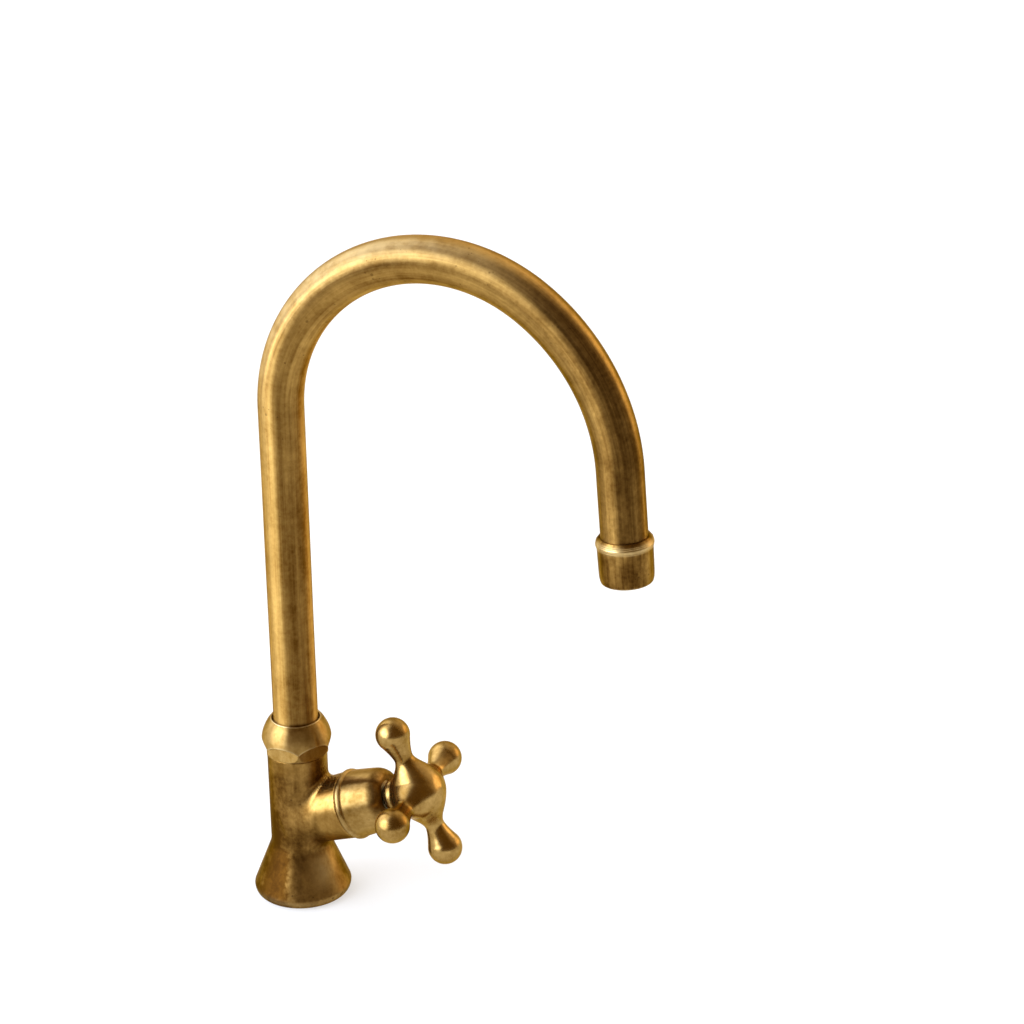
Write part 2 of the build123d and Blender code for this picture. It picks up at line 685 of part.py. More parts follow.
# Handle
def make_cross_handle():
    """Cast cross: a round hub that narrows to its neck, and four waisted arms with balls."""
    hub_edge = Spline(
        (HUB_REAR_R, 0, HUB_REAR_S + 0.4),
        (HUB_REAR_R + 0.3, 0, HUB_FLARE_S),
        (HUB_R * 0.76, 0, HUB_S - HUB_R * 0.75),
        (HUB_R * 0.89, 0, HUB_S - HUB_R * 0.47),
        (HUB_R, 0, HUB_S),
        (HUB_R * 0.866, 0, HUB_S + HUB_CROWN * 0.5),
        (HUB_R * 0.5, 0, HUB_S + HUB_CROWN * 0.866),
        (0, 0, HUB_FRONT_S),
        tangents=[(0, 0, 1), (-1, 0, 0)],
    )
    outline = [
        Line((0, 0, HUB_REAR_S), (HUB_REAR_R - 0.4, 0, HUB_REAR_S)),
        Line((HUB_REAR_R - 0.4, 0, HUB_REAR_S), (HUB_REAR_R, 0, HUB_REAR_S + 0.4)),
        hub_edge,
        Line((0, 0, HUB_FRONT_S), (0, 0, HUB_REAR_S)),
    ]
    hub = Rot(0, 0, 45 + REST_DEG) * revolve(make_face(Wire([w.edge() for w in outline])), Axis.Z)
    arm_edge = Spline(
        (ARM_ROOT_R, 0, 4.0),
        (ARM_ROOT_R - 0.4, 0, 9.5),
        (ARM_WAIST_R + 0.35, 0, BALL_JOIN - 10.6),
        (ARM_WAIST_R, 0, BALL_JOIN - 7.6),
        (ARM_WAIST_R + 0.75, 0, BALL_JOIN - 4.0),
        (BALL_FOOT_R, 0, BALL_JOIN),
        tangents=[(-0.03, 0, 1), (0.5, 0, 0.86)],
    )
    arm_outline = [
        Line((0, 0, 0), (ARM_ROOT_R, 0, 0)),
        Line((ARM_ROOT_R, 0, 0), (ARM_ROOT_R, 0, 4.0)),
        arm_edge,
        Line((BALL_FOOT_R, 0, BALL_JOIN), (0, 0, BALL_JOIN)),
        Line((0, 0, BALL_JOIN), (0, 0, 0)),
    ]
    arm = revolve(make_face(Wire([w.edge() for w in arm_outline])), Axis.Z)
    arm += Pos(0, 0, ARM_LEN) * Sphere(BALL_R)
    cross = hub
    for k in range(4):
        cross += Pos(0, 0, HUB_S) * Rot(0, 0, 90 * k + REST_DEG) * Rot(90, 0, 0) * arm
    loops = cross.edges().filter_by(GeomType.BSPLINE)
    roots = [e for e in loops if e.length > 4 * ARM_ROOT_R and abs(e.center().Z - HUB_S) < 0.5]
    cross = fillet(roots, HANDLE_FILLET)
    cross -= rod(STEM_R + 0.35, HUB_REAR_S - 1, HUB_REAR_S + 1)
    hole = SQUARE_W + 2 * SEAT_GAP
    cross -= Rot(0, 0, REST_DEG) * Pos(0, 0, HUB_REAR_S) * extrude(Rectangle(hole, hole), SQUARE_DEPTH)
    cross -= Pos(0, 0, GRUB_S) * Rot(90, 0, 0) * rod(GRUB_R + THREAD_GAP, 0, 10)
    return branch * cross


def make_grub_screw():
    """Set screw in the underside of the hub neck, with a socket in its outer end."""
    tip = SQUARE_W / 2 + 0.15
    end = HUB_REAR_R + 0.4
    pin = turned((0, tip), (GRUB_R - 0.6, tip), (GRUB_R, tip + 0.65), (GRUB_R, end), (0, end))
    pin -= Pos(0, 0, end - 1.3) * extrude(RegularPolygon(GRUB_R / 2, 6, major_radius=False), 2)
    return branch * Pos(0, 0, GRUB_S) * Rot(90, 0, 0) * pin


PIECES = {
    "valve_body": make_valve_body,
    "deck_seal": make_deck_seal,
    "threaded_shank": make_shank,
    "clamp_gasket": make_clamp_gasket,
    "clamp_washer": make_clamp_washer,
    "back_nut": make_back_nut,
    "spout_nut": make_spout_nut,
    "swivel_washer": make_swivel_washer,
    "retaining_ring": make_retaining_ring,
    "spout_tube": make_spout_tube,
    "spout_spigot": make_spout_spigot,
    "spout_seals": make_spout_seals,
    "outlet_collar": make_outlet_collar,
    "aerator_housing": make_aerator_housing,
    "aerator_screen": make_aerator_screen,
    "flow_insert": make_flow_insert,
    "aerator_washer": make_aerator_washer,
    "bonnet": make_bonnet,
    "bonnet_seal": make_bonnet_seal,
    "cartridge_body": make_cartridge_body,
    "seat_seal": make_seat_seal,
    "fixed_disc": make_fixed_disc,
    "moving_disc": make_moving_disc,
    "slip_washer": make_slip_washer,
    "spindle": make_spindle,
    "spindle_seals": make_spindle_seals,
    "spindle_clip": make_spindle_clip,
    "cross_handle": make_cross_handle,
    "grub_screw": make_grub_screw,
}

os.makedirs("parts", exist_ok=True)
for node, make in PIECES.items():
    export_step(make(), f"parts/{node}.step")
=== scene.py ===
import json
from math import cos, pi, radians, sin

import bpy
import numpy as np
from mathutils import Matrix


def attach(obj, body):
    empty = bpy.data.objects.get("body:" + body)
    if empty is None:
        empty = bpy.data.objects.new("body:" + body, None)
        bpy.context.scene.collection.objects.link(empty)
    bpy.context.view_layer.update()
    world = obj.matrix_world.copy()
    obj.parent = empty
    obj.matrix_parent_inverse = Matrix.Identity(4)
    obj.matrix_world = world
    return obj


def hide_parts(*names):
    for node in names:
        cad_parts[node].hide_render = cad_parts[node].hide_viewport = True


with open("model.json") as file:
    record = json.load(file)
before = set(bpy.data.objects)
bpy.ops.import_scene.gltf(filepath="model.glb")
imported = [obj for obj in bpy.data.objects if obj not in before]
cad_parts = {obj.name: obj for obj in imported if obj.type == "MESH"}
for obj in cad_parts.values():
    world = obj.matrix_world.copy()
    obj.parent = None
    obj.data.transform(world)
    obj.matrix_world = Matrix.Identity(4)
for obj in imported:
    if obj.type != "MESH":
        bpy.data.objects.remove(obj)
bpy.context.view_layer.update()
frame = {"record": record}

MM = 0.001

# Sizes of the faucet in millimetres, as in its solids, but the nut is 0.4 mm wider across its flats. Heights
# that end in Z are above the counter, and those that end in S are along the valve branch from its root
BASE_EDGE_R = 18.7
BASE_R = 20.9
BASE_R_Z = 3.6
NECK_Z = 24.0
COLUMN_R = 12.8
COLUMN_TOP_Z = 67.0
BOSS_R = 10.8
BOSS_TOP_Z = 76.0
SOCKET_R = 9.2
SOCKET_FLOOR_Z = 52.0
BRANCH_Z = 35.15
BRANCH_UP = radians(22.3)
BRANCH_ROOT_R = 12.6
BRANCH_R = 14.3
BRANCH_SHOULDER_S = 28.0
NOSE_WALL_R = 12.2
MOUTH_S = 29.5
CROTCH_FILLET = 3.0
SEAT_R = 4.5
CHAMBER_R = 9.7
CHAMBER_S = 8.5
THREAD_R = 10.53
HEAD_THREAD_S = 18.0
INLET_R = 5.5
INLET_TOP_Z = 36.0
PASSAGE_R = 3.6
PASSAGE_X = 4.6
PASSAGE_Z = 42.0
SHANK_SOCKET_Z = 14.0
TUBE_R = 9.5
TUBE_BORE_R = 8.3
TUBE_FOOT_Z = 78.6
BEND_START_Z = 222.9
BEND_1_R = 70.5
BEND_1 = radians(124.3)
BEND_2_R = 84.3
BEND_2 = radians(51.8)
TAIL_LEN = 45.7
COLLAR_TOP = 26.6
TUBE_IN_COLLAR = 8.7
AERATOR_R = 9.7
SCREEN_FOOT = 43.5
SCREEN_HOLE_R = 7.25
BONNET_S = 28.02
BONNET_BORE_R = 12.4
BONNET_END_S = 47.3
HEAD_NECK_R = 7.55
HUB_REAR_S = 48.3
HUB_REAR_R = 7.2
HUB_S = 61.6
HUB_END_S = 73.0
HUB_FILLET = 5.5
ARM_LEN = 27.74
BALL_R = 7.3
SQUARE_HALF = 2.65
SCREW_HOLE_R = 1.55
REST_TURN = radians(4.1)
NUT_FLATS = 25.9
NUT_FOOT_R = 12.95
NUT_BROW_R = 11.9
NUT_BROW_DROP = 5.4
NUT_DOME_TOP_Z = 82.45
NUT_HOLE_R = 9.87
NUT_BORE_R = 10.85
NUT_SHOULDER_Z = 80.0
SHANK_R = 10.48
SHANK_BORE_R = 6.2
SHANK_LOW_Z = -48.0
SHANK_TOP_Z = 13.95
THREAD_PITCH = 1.814

# Camera, found by fitting the outline of the photographed faucet
CAMERA_AZIMUTH = radians(23.58)
CAMERA_PITCH = radians(23.30)
CAMERA_ROLL = -0.0128
FOCAL_PIXELS = 2800.35
BASE_PIXEL = (303.72, 885.37)
BASE_DEPTH = 1218.1
FRAME_PIXELS = 1024


def spread(low, high, count):
    """Evenly spaced values from low to high as an array."""
    return np.linspace(low, high, count)


def new_piece(name, points, faces, lay, grain, body, replaced=(), wear_and_sheen=0.0, tarnish_and_shade=0.0):
    """One object from point and face arrays, smooth shaded, turned outwards if its volume comes out negative.
    Each point keeps its place on the unrolled surface, its grain, how worn it is with any painted highlight,
    and how tarnished it is with any painted shade."""
    points = points.reshape(-1, 3)
    a, b, c, d = (points[faces[:, k]] for k in range(4))
    volume = np.sum(a * np.cross(b, c)) + np.sum(a * np.cross(c, d))
    if volume < 0:
        faces = faces[:, ::-1]
    mesh = bpy.data.meshes.new(name)
    mesh.from_pydata((points * MM).tolist(), [], faces.tolist())
    mesh.polygons.foreach_set("use_smooth", np.ones(len(mesh.polygons), dtype=bool))
    for label, kind, key, value in (
        ("lay", "FLOAT_VECTOR", "vector", lay.reshape(-1, 3) * MM),
        ("grain", "FLOAT_VECTOR", "vector", grain.reshape(-1, 3)),
        ("wear_and_sheen", "FLOAT", "value", np.broadcast_to(wear_and_sheen, points.shape[:1]) if np.ndim(wear_and_sheen) == 0 else wear_and_sheen),
        ("tarnish_and_shade", "FLOAT", "value", np.broadcast_to(tarnish_and_shade, points.shape[:1]) if np.ndim(tarnish_and_shade) == 0 else tarnish_and_shade),
    ):
        layer = mesh.attributes.new(label, kind, "POINT")
        layer.data.foreach_set(key, np.ascontiguousarray(value, dtype=np.float32).ravel())
    obj = bpy.data.objects.new(name, mesh)
    bpy.context.scene.collection.objects.link(obj)
    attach(obj, body)
    if replaced:
        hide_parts(*replaced)
    return obj


def grid_faces(rows, columns, rows_close):
    """Quads between neighbouring rows and columns; columns always wrap, rows wrap when asked."""
    r = np.arange(rows if rows_close else rows - 1)[:, None]
    c = np.arange(columns)[None, :]
    r2 = (r + 1) % rows
    c2 = (c + 1) % columns
    quads = np.stack([r * columns + c, r * columns + c2, r2 * columns + c2, r2 * columns + c], -1)
    return quads.reshape(-1, 4)


def rounded(corners, step=0.2):
    """Open outline from (radius, height, rounding) corners: straight runs sampled evenly, and each corner
    replaced by a parabola whose control points are the ends of its rounding and the corner itself."""
    c = np.array([[r, z] for r, z, _ in corners], float)
    size = np.array([k for _, _, k in corners], float)
    run = np.linalg.norm(np.diff(c, axis=0), axis=1)
    way = np.diff(c, axis=0) / run[:, None]
    cut = np.zeros(len(c))
    cut[1:-1] = np.minimum(size[1:-1], 0.48 * np.minimum(run[:-1], run[1:]))
    out = []
    for k in range(len(c)):
        before = c[k] - way[max(k - 1, 0)] * cut[k]
        after = c[k] + way[min(k, len(way) - 1)] * cut[k]
        t = spread(0, 1, 7)[:, None] if cut[k] > 0 else np.zeros((1, 1))
        out.append((1 - t) ** 2 * before + 2 * t * (1 - t) * c[k] + t**2 * after)
        if k < len(c) - 1:
            end = c[k + 1] - way[k] * cut[k + 1]
            count = int(np.linalg.norm(end - after) / step) + 1
            out.append(after + (end - after) * spread(0, 1, count + 1)[1:-1, None])
    return np.concatenate(out)


def through(points, count):
    """Smooth outline through points: a cubic in each span, its end slopes taken from the points on either
    side, each divided by the distance between them."""
    p = np.array(points, float)
    d = np.concatenate([[0], np.cumsum(np.linalg.norm(np.diff(p, axis=0), axis=1))])
    slope = np.gradient(p, d, axis=0)
    t = spread(0, d[-1], count)
    k = np.clip(np.searchsorted(d, t, side="right") - 1, 0, len(d) - 2)
    h = (d[k + 1] - d[k])[:, None]
    u = ((t - d[k])[:, None]) / h
    return (
        (2 * u**3 - 3 * u**2 + 1) * p[k] + (u**3 - 2 * u**2 + u) * h * slope[k]
        + (3 * u**2 - 2 * u**3) * p[k + 1] + (u**3 - u**2) * h * slope[k + 1]
    )


def turned(name, outline, axes, body, replaced=(), sides=192, wear_and_sheen=0.0, tarnish_and_shade=0.0, sway=None):
    """Closed outline of (radius, height) turned once about an axis: point = origin + radius (cos a U +
    sin a V) + height W. sway(a, outline) may add to the radius. The grain runs along the outline."""
    origin, u, v, w = (np.array(k, float) for k in axes)
    a = spread(0, 2 * pi, sides + 1)[:-1]
    radius = outline[:, None, 0] + 0 * a
    height = outline[:, None, 1] + 0 * a
    if sway is not None:
        radius = radius + sway(a[None, :], outline[:, None, :])
    round_about = np.cos(a)[:, None] * u + np.sin(a)[:, None] * v
    points = origin + radius[..., None] * round_about[None] + height[..., None] * w
    step = np.roll(points, -1, 0) - np.roll(points, 1, 0)
    grain = step / np.maximum(np.linalg.norm(step, axis=-1, keepdims=True), 1e-9)
    lay = np.stack([radius * np.cos(a), radius * np.sin(a), height], -1)
    faces = grid_faces(len(outline), sides, True)
    wear_and_sheen = np.broadcast_to(np.asarray(wear_and_sheen, float).reshape(-1, 1), radius.shape)
    tarnish_and_shade = np.broadcast_to(np.asarray(tarnish_and_shade, float).reshape(-1, 1), radius.shape)
    return new_piece(name, points, faces, lay, grain, body, replaced, wear_and_sheen, tarnish_and_shade)


def outline_distance(radius, height, outline):
    """Signed distance, negative inside, from points given by radius and height to a closed outline: the least
    distance to its straight runs, the sign from how many runs a level line outwards crosses."""
    first, last = outline, np.roll(outline, -1, axis=0)
    least = np.full(radius.shape, 1e9)
    inside = np.zeros(radius.shape, dtype=bool)
    for (r0, z0), (r1, z1) in zip(first, last):
        dr, dz = r1 - r0, z1 - z0
        size = dr * dr + dz * dz
        if size < 1e-12:
            continue
        t = np.clip(((radius - r0) * dr + (height - z0) * dz) / size, 0, 1)
        least = np.minimum(least, (radius - r0 - t * dr) ** 2 + (height - z0 - t * dz) ** 2)
        if dz:
            inside ^= ((z0 > height) != (z1 > height)) & (radius < r0 + (height - z0) * dr / dz)
    return np.where(inside, -1.0, 1.0) * np.sqrt(least)


def joined(a, b, fillet):
    """Union of two distances with a hollow corner of the given radius: a ball that rolls on both surfaces."""
    u, v = np.maximum(fillet - a, 0), np.maximum(fillet - b, 0)
    return np.maximum(fillet, np.minimum(a, b)) - np.sqrt(u * u + v * v)


def skin(field, low, high, step):
    """Surface where a field of points is zero. Each cell of a grid that the surface crosses gets one point,
    the mean of the crossings on its edges; each grid edge that it crosses gets the quad of its four cells;
    the points then slide down the field's slope onto zero."""
    axes = [np.arange(a, b + step, step) for a, b in zip(low, high)]
    grid = np.stack(np.meshgrid(*axes, indexing="ij"), -1)
    value = field(grid)
    shape = np.array(value.shape) - 1
    total, count = np.zeros((*shape, 3)), np.zeros(shape)
    edges = []
    for axis in range(3):
        v = np.moveaxis(value, axis, 0)
        g = np.moveaxis(grid, axis, 0)
        crosses = (v[:-1] < 0) != (v[1:] < 0)
        t = np.where(crosses, v[:-1] / np.where(crosses, v[:-1] - v[1:], 1), 0)
        spot = np.where(crosses[..., None], g[:-1] + t[..., None] * (g[1:] - g[:-1]), 0)
        edges.append((axis, crosses, v[:-1] < 0))
        summed, counted = np.moveaxis(total, axis, 0), np.moveaxis(count, axis, 0)
        for i in (0, 1):
            for j in (0, 1):
                part = (slice(None), slice(i, i - 1 or None), slice(j, j - 1 or None))
                summed += spot[part]
                counted += crosses[part]
    used = count > 0
    number = np.full(shape, -1)
    number[used] = np.arange(used.sum())
    points = total[used] / count[used][:, None]
    faces = []
    for axis, crosses, filled in edges:
        n = np.moveaxis(number, axis, 0)
        c = crosses[:, 1:-1, 1:-1]
        quad = np.stack([n[:, :-1, :-1][c], n[:, 1:, :-1][c], n[:, 1:, 1:][c], n[:, :-1, 1:][c]], -1)
        turned_over = filled[:, 1:-1, 1:-1][c] == (axis == 1)
        faces.append(np.where(turned_over[:, None], quad[:, ::-1], quad))
    for _ in range(5):
        here = field(points)
        slope = np.stack([field(points + d) - field(points - d) for d in np.eye(3) * 0.02], -1) / 0.04
        points = points - (here / np.maximum(np.sum(slope**2, -1), 0.25))[:, None] * slope
    return points, np.concatenate(faces)


def spout_path(lengths):
    """Centre line and direction at lengths from the foot: a straight riser, an arc, a wider arc and a
    straight tail."""
    riser = BEND_START_Z - TUBE_FOOT_Z
    ends = np.cumsum([riser, BEND_1_R * BEND_1, BEND_2_R * BEND_2])
    s = np.asarray(lengths, float)
    angle = np.clip((s - ends[0]) / BEND_1_R, 0, BEND_1)
    angle = angle + np.clip((s - ends[1]) / BEND_2_R, 0, BEND_2)
    first = np.minimum(angle, BEND_1)
    x = BEND_1_R * (1 - np.cos(first)) + BEND_2_R * (np.cos(first) - np.cos(angle))
    z = BEND_START_Z + BEND_1_R * np.sin(first) + BEND_2_R * (np.sin(angle) - np.sin(first))
    z = z - np.clip(riser - s, 0, None)
    after = np.clip(s - ends[2], 0, None)
    x = x + after * np.sin(angle)
    z = z + after * np.cos(angle)
    centre = np.stack([x, 0 * x, z], -1)
    way = np.stack([np.sin(angle), 0 * x, np.cos(angle)], -1)
    return centre, way


def bends_end():
    """Length of the centre line from the tube's foot to the start of its straight tail."""
    return BEND_START_Z - TUBE_FOOT_Z + BEND_1_R * BEND_1 + BEND_2_R * BEND_2


def make_spout_tube():
    """Circle carried along the spout's centre line: out along the outer wall and back along the bore.
    The outer radius falls short by slow waves round and along it, as a tube bent by hand has. Tarnish grows
    past the crown and towards the outlet; past the crown a band on the outer side, turned towards -Y, is
    darkened further as painted shade, and the outer side of the first bend is paler as a painted reflection,
    also taken for wear where a hand swings the spout."""
    total = bends_end() + COLLAR_TOP + TUBE_IN_COLLAR
    straight = BEND_START_Z - TUBE_FOOT_Z
    s = np.concatenate([spread(0, straight, 60)[:-1], spread(straight, total, 340)])
    phi = spread(0, 2 * pi, 129)[:-1]
    blocks, lays, ways, tarnish_and_shade_rows, wear_and_sheen_rows = [], [], [], [], []
    for lengths, radius, outer in ((s, TUBE_R, 1.0), (s[::-1], TUBE_BORE_R, 0.0)):
        centre, way = spout_path(lengths)
        side = np.array([0.0, 1.0, 0.0])
        up = np.cross(way, side)
        ring = np.cos(phi)[None, :, None] * side + np.sin(phi)[None, :, None] * up[:, None, :]
        along = lengths[:, None] + 0 * phi
        waves = (
            np.sin(along / 11.0 + 2 * phi) + np.sin(along / 17.0 - 3 * phi + 1.0) + np.sin(along / 29.0 + phi)
        )
        girth = radius - outer * (0.045 + 0.015 * waves)
        blocks.append(centre[:, None, :] + girth[..., None] * ring)
        ways.append(way[:, None, :] + 0 * ring)
        lays.append(np.stack([radius * np.cos(phi) + 0 * along, radius * np.sin(phi) + 0 * along, along], -1))
        # Painted shade, with tarnish: a darker band past the crown on the outer side towards -Y; tarnish on
        # the falling leg and near the outlet
        shade_past_crown = np.exp(-(((phi - 2.4) / 0.75) ** 2)) * np.clip((along - 245) / 60, 0, 1)
        falling = np.clip((along - 270) / 50, 0, 1)
        near_outlet = np.clip((along - total + 78) / 60, 0, 1)
        tarnish_and_shade_rows.append(np.clip(0.75 * shade_past_crown + 0.35 * falling + 0.5 * near_outlet, 0, 1))
        # Painted reflection, with wear: a paler patch on the outer side of the first bend, stored as wear
        sheen_where_held = np.exp(-(((along - 205) / 60) ** 2)) * np.exp(-(((phi - 1.9) / 0.7) ** 2))
        wear_and_sheen_rows.append(outer * sheen_where_held)
    points = np.concatenate(blocks)
    faces = grid_faces(len(points), len(phi), True)
    return new_piece(
        "gooseneck", points, faces, np.concatenate(lays), np.concatenate(ways),
        "spout", ("spout_tube",), np.concatenate(wear_and_sheen_rows).ravel(), np.concatenate(tarnish_and_shade_rows).ravel(),
    )


def tail_axes():
    """Axes of the straight tail: its start at the end of the bend, two directions across it, and its own."""
    centre, way = spout_path([bends_end()])
    side = np.array([0.0, 1.0, 0.0])
    return centre[0], side, np.cross(way[0], side), way[0]


def branch_axes():
    """Axes of the valve branch: its root on the column, two directions across it, and its own, rising
    forwards."""
    way = np.array([cos(BRANCH_UP), 0.0, sin(BRANCH_UP)])
    side = np.array([0.0, 1.0, 0.0])
    return np.array([0.0, 0.0, BRANCH_Z]), side, np.cross(way, side), way


def make_collar():
    """Turned sleeve: a hand-filed shoulder with fine ridges, a bead, a barrel tapering by a fiftieth to a
    rounded foot, and inside it the bore of the aerator up to the step where the tube ends."""
    top = COLLAR_TOP
    outline = rounded([
        (TUBE_R, top, 0), (10.25, top, 0.1), (10.5, top + 0.3, 0.15), (11.05, top + 0.95, 0.2),
        (11.32, top + 1.25, 0.12), (11.2, top + 1.5, 0.1), (11.5, top + 1.85, 0.14), (11.38, top + 2.1, 0.1),
        (11.64, top + 2.5, 0.2), (11.64, top + 3.35, 0.3), (11.36, top + 3.75, 0.1), (11.42, top + 4.0, 0.1),
        (11.16, top + 4.5, 0.3), (10.98, TAIL_LEN - 3.6, 1.5), (10.78, TAIL_LEN - 1.5, 1.0),
        (10.45, TAIL_LEN - 0.35, 0.7), (10.05, TAIL_LEN, 0.3), (AERATOR_R, TAIL_LEN, 0),
        (AERATOR_R, top + TUBE_IN_COLLAR, 0), (TUBE_R, top + TUBE_IN_COLLAR, 0),
    ], 0.12)
    height = outline[:, 1] - top
    outside = outline[:, 0] > AERATOR_R + 0.15
    bead = np.exp(-(((height - 2.6) / 1.7) ** 4)) * outside
    foot = np.exp(-(((outline[:, 1] - TAIL_LEN) / 0.5) ** 2)) * outside
    wear_and_sheen = np.clip(0.7 * bead + 0.6 * foot, 0, 1)

    def sway(a, outline):
        """Unevenness of the filed shoulder: two waves round it, gone beyond the bead."""
        near = np.exp(-(((outline[..., 1] - top - 2.0) / 2.2) ** 4)) * (outline[..., 0] > AERATOR_R + 0.15)
        return -near * (0.05 + 0.03 * np.sin(5 * a + 1) + 0.02 * np.sin(11 * a))

    return turned("collar", outline, tail_axes(), "spout", ("outlet_collar",), 240, wear_and_sheen,
                  np.clip(1.0 - wear_and_sheen, 0.3, 1), sway)


def make_spout_nut():
    """Domed nut: for each angle a, a flat at half its width across flats over cos(a) from the axis runs up to
    an arch, the arc of a circle across the flat; a quarter ellipse leads out from there to the dome, whose
    outline passes through the turned sizes; a thin lip stands round the opening, and the bore drops to the
    shoulder over the spigot."""
    columns, part = 6 * 72, pi / 3
    a = spread(0, 2 * pi, columns + 1)[:-1]
    off = np.mod(a, part) - part / 2
    flat = NUT_FLATS / 2 / np.cos(off)
    across = NUT_FLATS / 2 * np.tan(off)
    arch = COLUMN_TOP_Z - NUT_BROW_DROP + np.sqrt(NUT_BROW_R**2 - across**2)
    skirt = np.array([(NUT_FOOT_R, COLUMN_TOP_Z), (13.3, 67.15), (13.8, 67.6), (14.25, 68.3), (14.6, 69.2)])
    dome = through([
        (14.8, 70.2), (14.9, 72.4), (14.65, 75.0), (13.95, 77.5), (12.85, 79.9), (11.85, 81.6),
        (11.15, NUT_DOME_TOP_Z),
    ], 240)
    profile = np.concatenate([skirt, dome])

    def dome_at(z):
        """Radius of the turned outline at heights z."""
        return np.interp(z, profile[:, 1], profile[:, 0])

    rows = []
    step_out = 0.5
    for t in spread(0, 1, 26):
        z = COLUMN_TOP_Z + t * (arch - COLUMN_TOP_Z)
        full = dome_at(z)
        gap = np.clip(full - flat, -1, None)
        rows.append((np.where(gap > 0, flat, full), z))
    low = rows[-1][0]
    for t in spread(0, 1, 9)[1:]:
        z = arch + step_out * (1 - np.cos(t * pi / 2))
        rows.append((low + (dome_at(z) - low) * np.sin(t * pi / 2), z))
    start = arch + step_out
    for t in spread(0, 1, 70)[1:]:
        z = start + (NUT_DOME_TOP_Z - start) * np.sin(t * pi / 2)
        rows.append((dome_at(z), z))
    lip = rounded([
        (11.15, NUT_DOME_TOP_Z, 0), (10.95, 82.5, 0.1), (10.85, 82.95, 0.25), (10.35, 83.0, 0.25),
        (10.05, 82.5, 0.3), (NUT_HOLE_R, 81.6, 0.2), (NUT_HOLE_R, NUT_SHOULDER_Z, 0),
        (NUT_BORE_R, NUT_SHOULDER_Z, 0), (NUT_BORE_R, COLUMN_TOP_Z, 0), (NUT_FOOT_R, COLUMN_TOP_Z, 0),
    ], 0.25)[1:-1]
    rows += [(r + 0 * a, z + 0 * a) for r, z in lip]
    radius = np.array([r for r, _ in rows])
    height = np.array([z for _, z in rows])
    points = np.stack([radius * np.cos(a), radius * np.sin(a), height], -1)
    step = np.roll(points, -1, 0) - np.roll(points, 1, 0)
    grain = step / np.maximum(np.linalg.norm(step, axis=-1, keepdims=True), 1e-9)
    wear_and_sheen = 0.45 * np.exp(-(((height - arch - 0.4) / 0.5) ** 2)) * (radius > flat + 0.05)
    wear_and_sheen = np.clip(wear_and_sheen + 0.8 * (height > 82.6) * (radius > 10.1), 0, 1)
    return new_piece("domed_nut", points, grid_faces(len(rows), columns, True), points, grain,
                     "body", ("spout_nut",), wear_and_sheen.ravel(), 0.0)


def make_bonnet():
    """Cover turned about the branch: a bead between two fine grooves, a barrel narrowing by 1 mm, a round
    shoulder and a flat end, and the bore over the headwork inside. The shoulder next to the handle's gap is
    darkened as painted shade."""
    outline = rounded([
        (BONNET_BORE_R, BONNET_S, 0), (13.9, BONNET_S, 0.1), (14.2, 28.25, 0.1), (14.75, 28.5, 0.5),
        (15.1, 29.2, 0.8), (15.08, 29.75, 0.8), (14.7, 30.5, 0.5), (14.1, 30.85, 0.08), (14.0, 31.1, 0.08),
        (14.36, 31.45, 0.15), (14.32, 32.2, 0.3), (13.95, 36.5, 1.0), (13.5, 41.3, 1.6), (13.1, 44.0, 1.2),
        (11.9, 46.1, 1.3), (9.9, 47.2, 0.9), (9.0, BONNET_END_S, 0.2), (HEAD_NECK_R, BONNET_END_S, 0),
        (HEAD_NECK_R, 38.0, 0), (10.0, 36.0, 0), (BONNET_BORE_R, 34.8, 0),
    ], 0.2)
    wear_and_sheen = np.exp(-(((outline[:, 1] - 29.5) / 0.9) ** 2)) * (outline[:, 0] > 14.4) * 0.25
    # Painted shade: the round shoulder beside the handle's gap is darkened through the tarnish attribute
    tarnish_and_shade = np.clip((outline[:, 1] - 42.8) / 2.2, 0, 1) * 0.9
    return turned("valve_bonnet", outline, branch_axes(), "body", ("bonnet",), 224, wear_and_sheen, tarnish_and_shade)


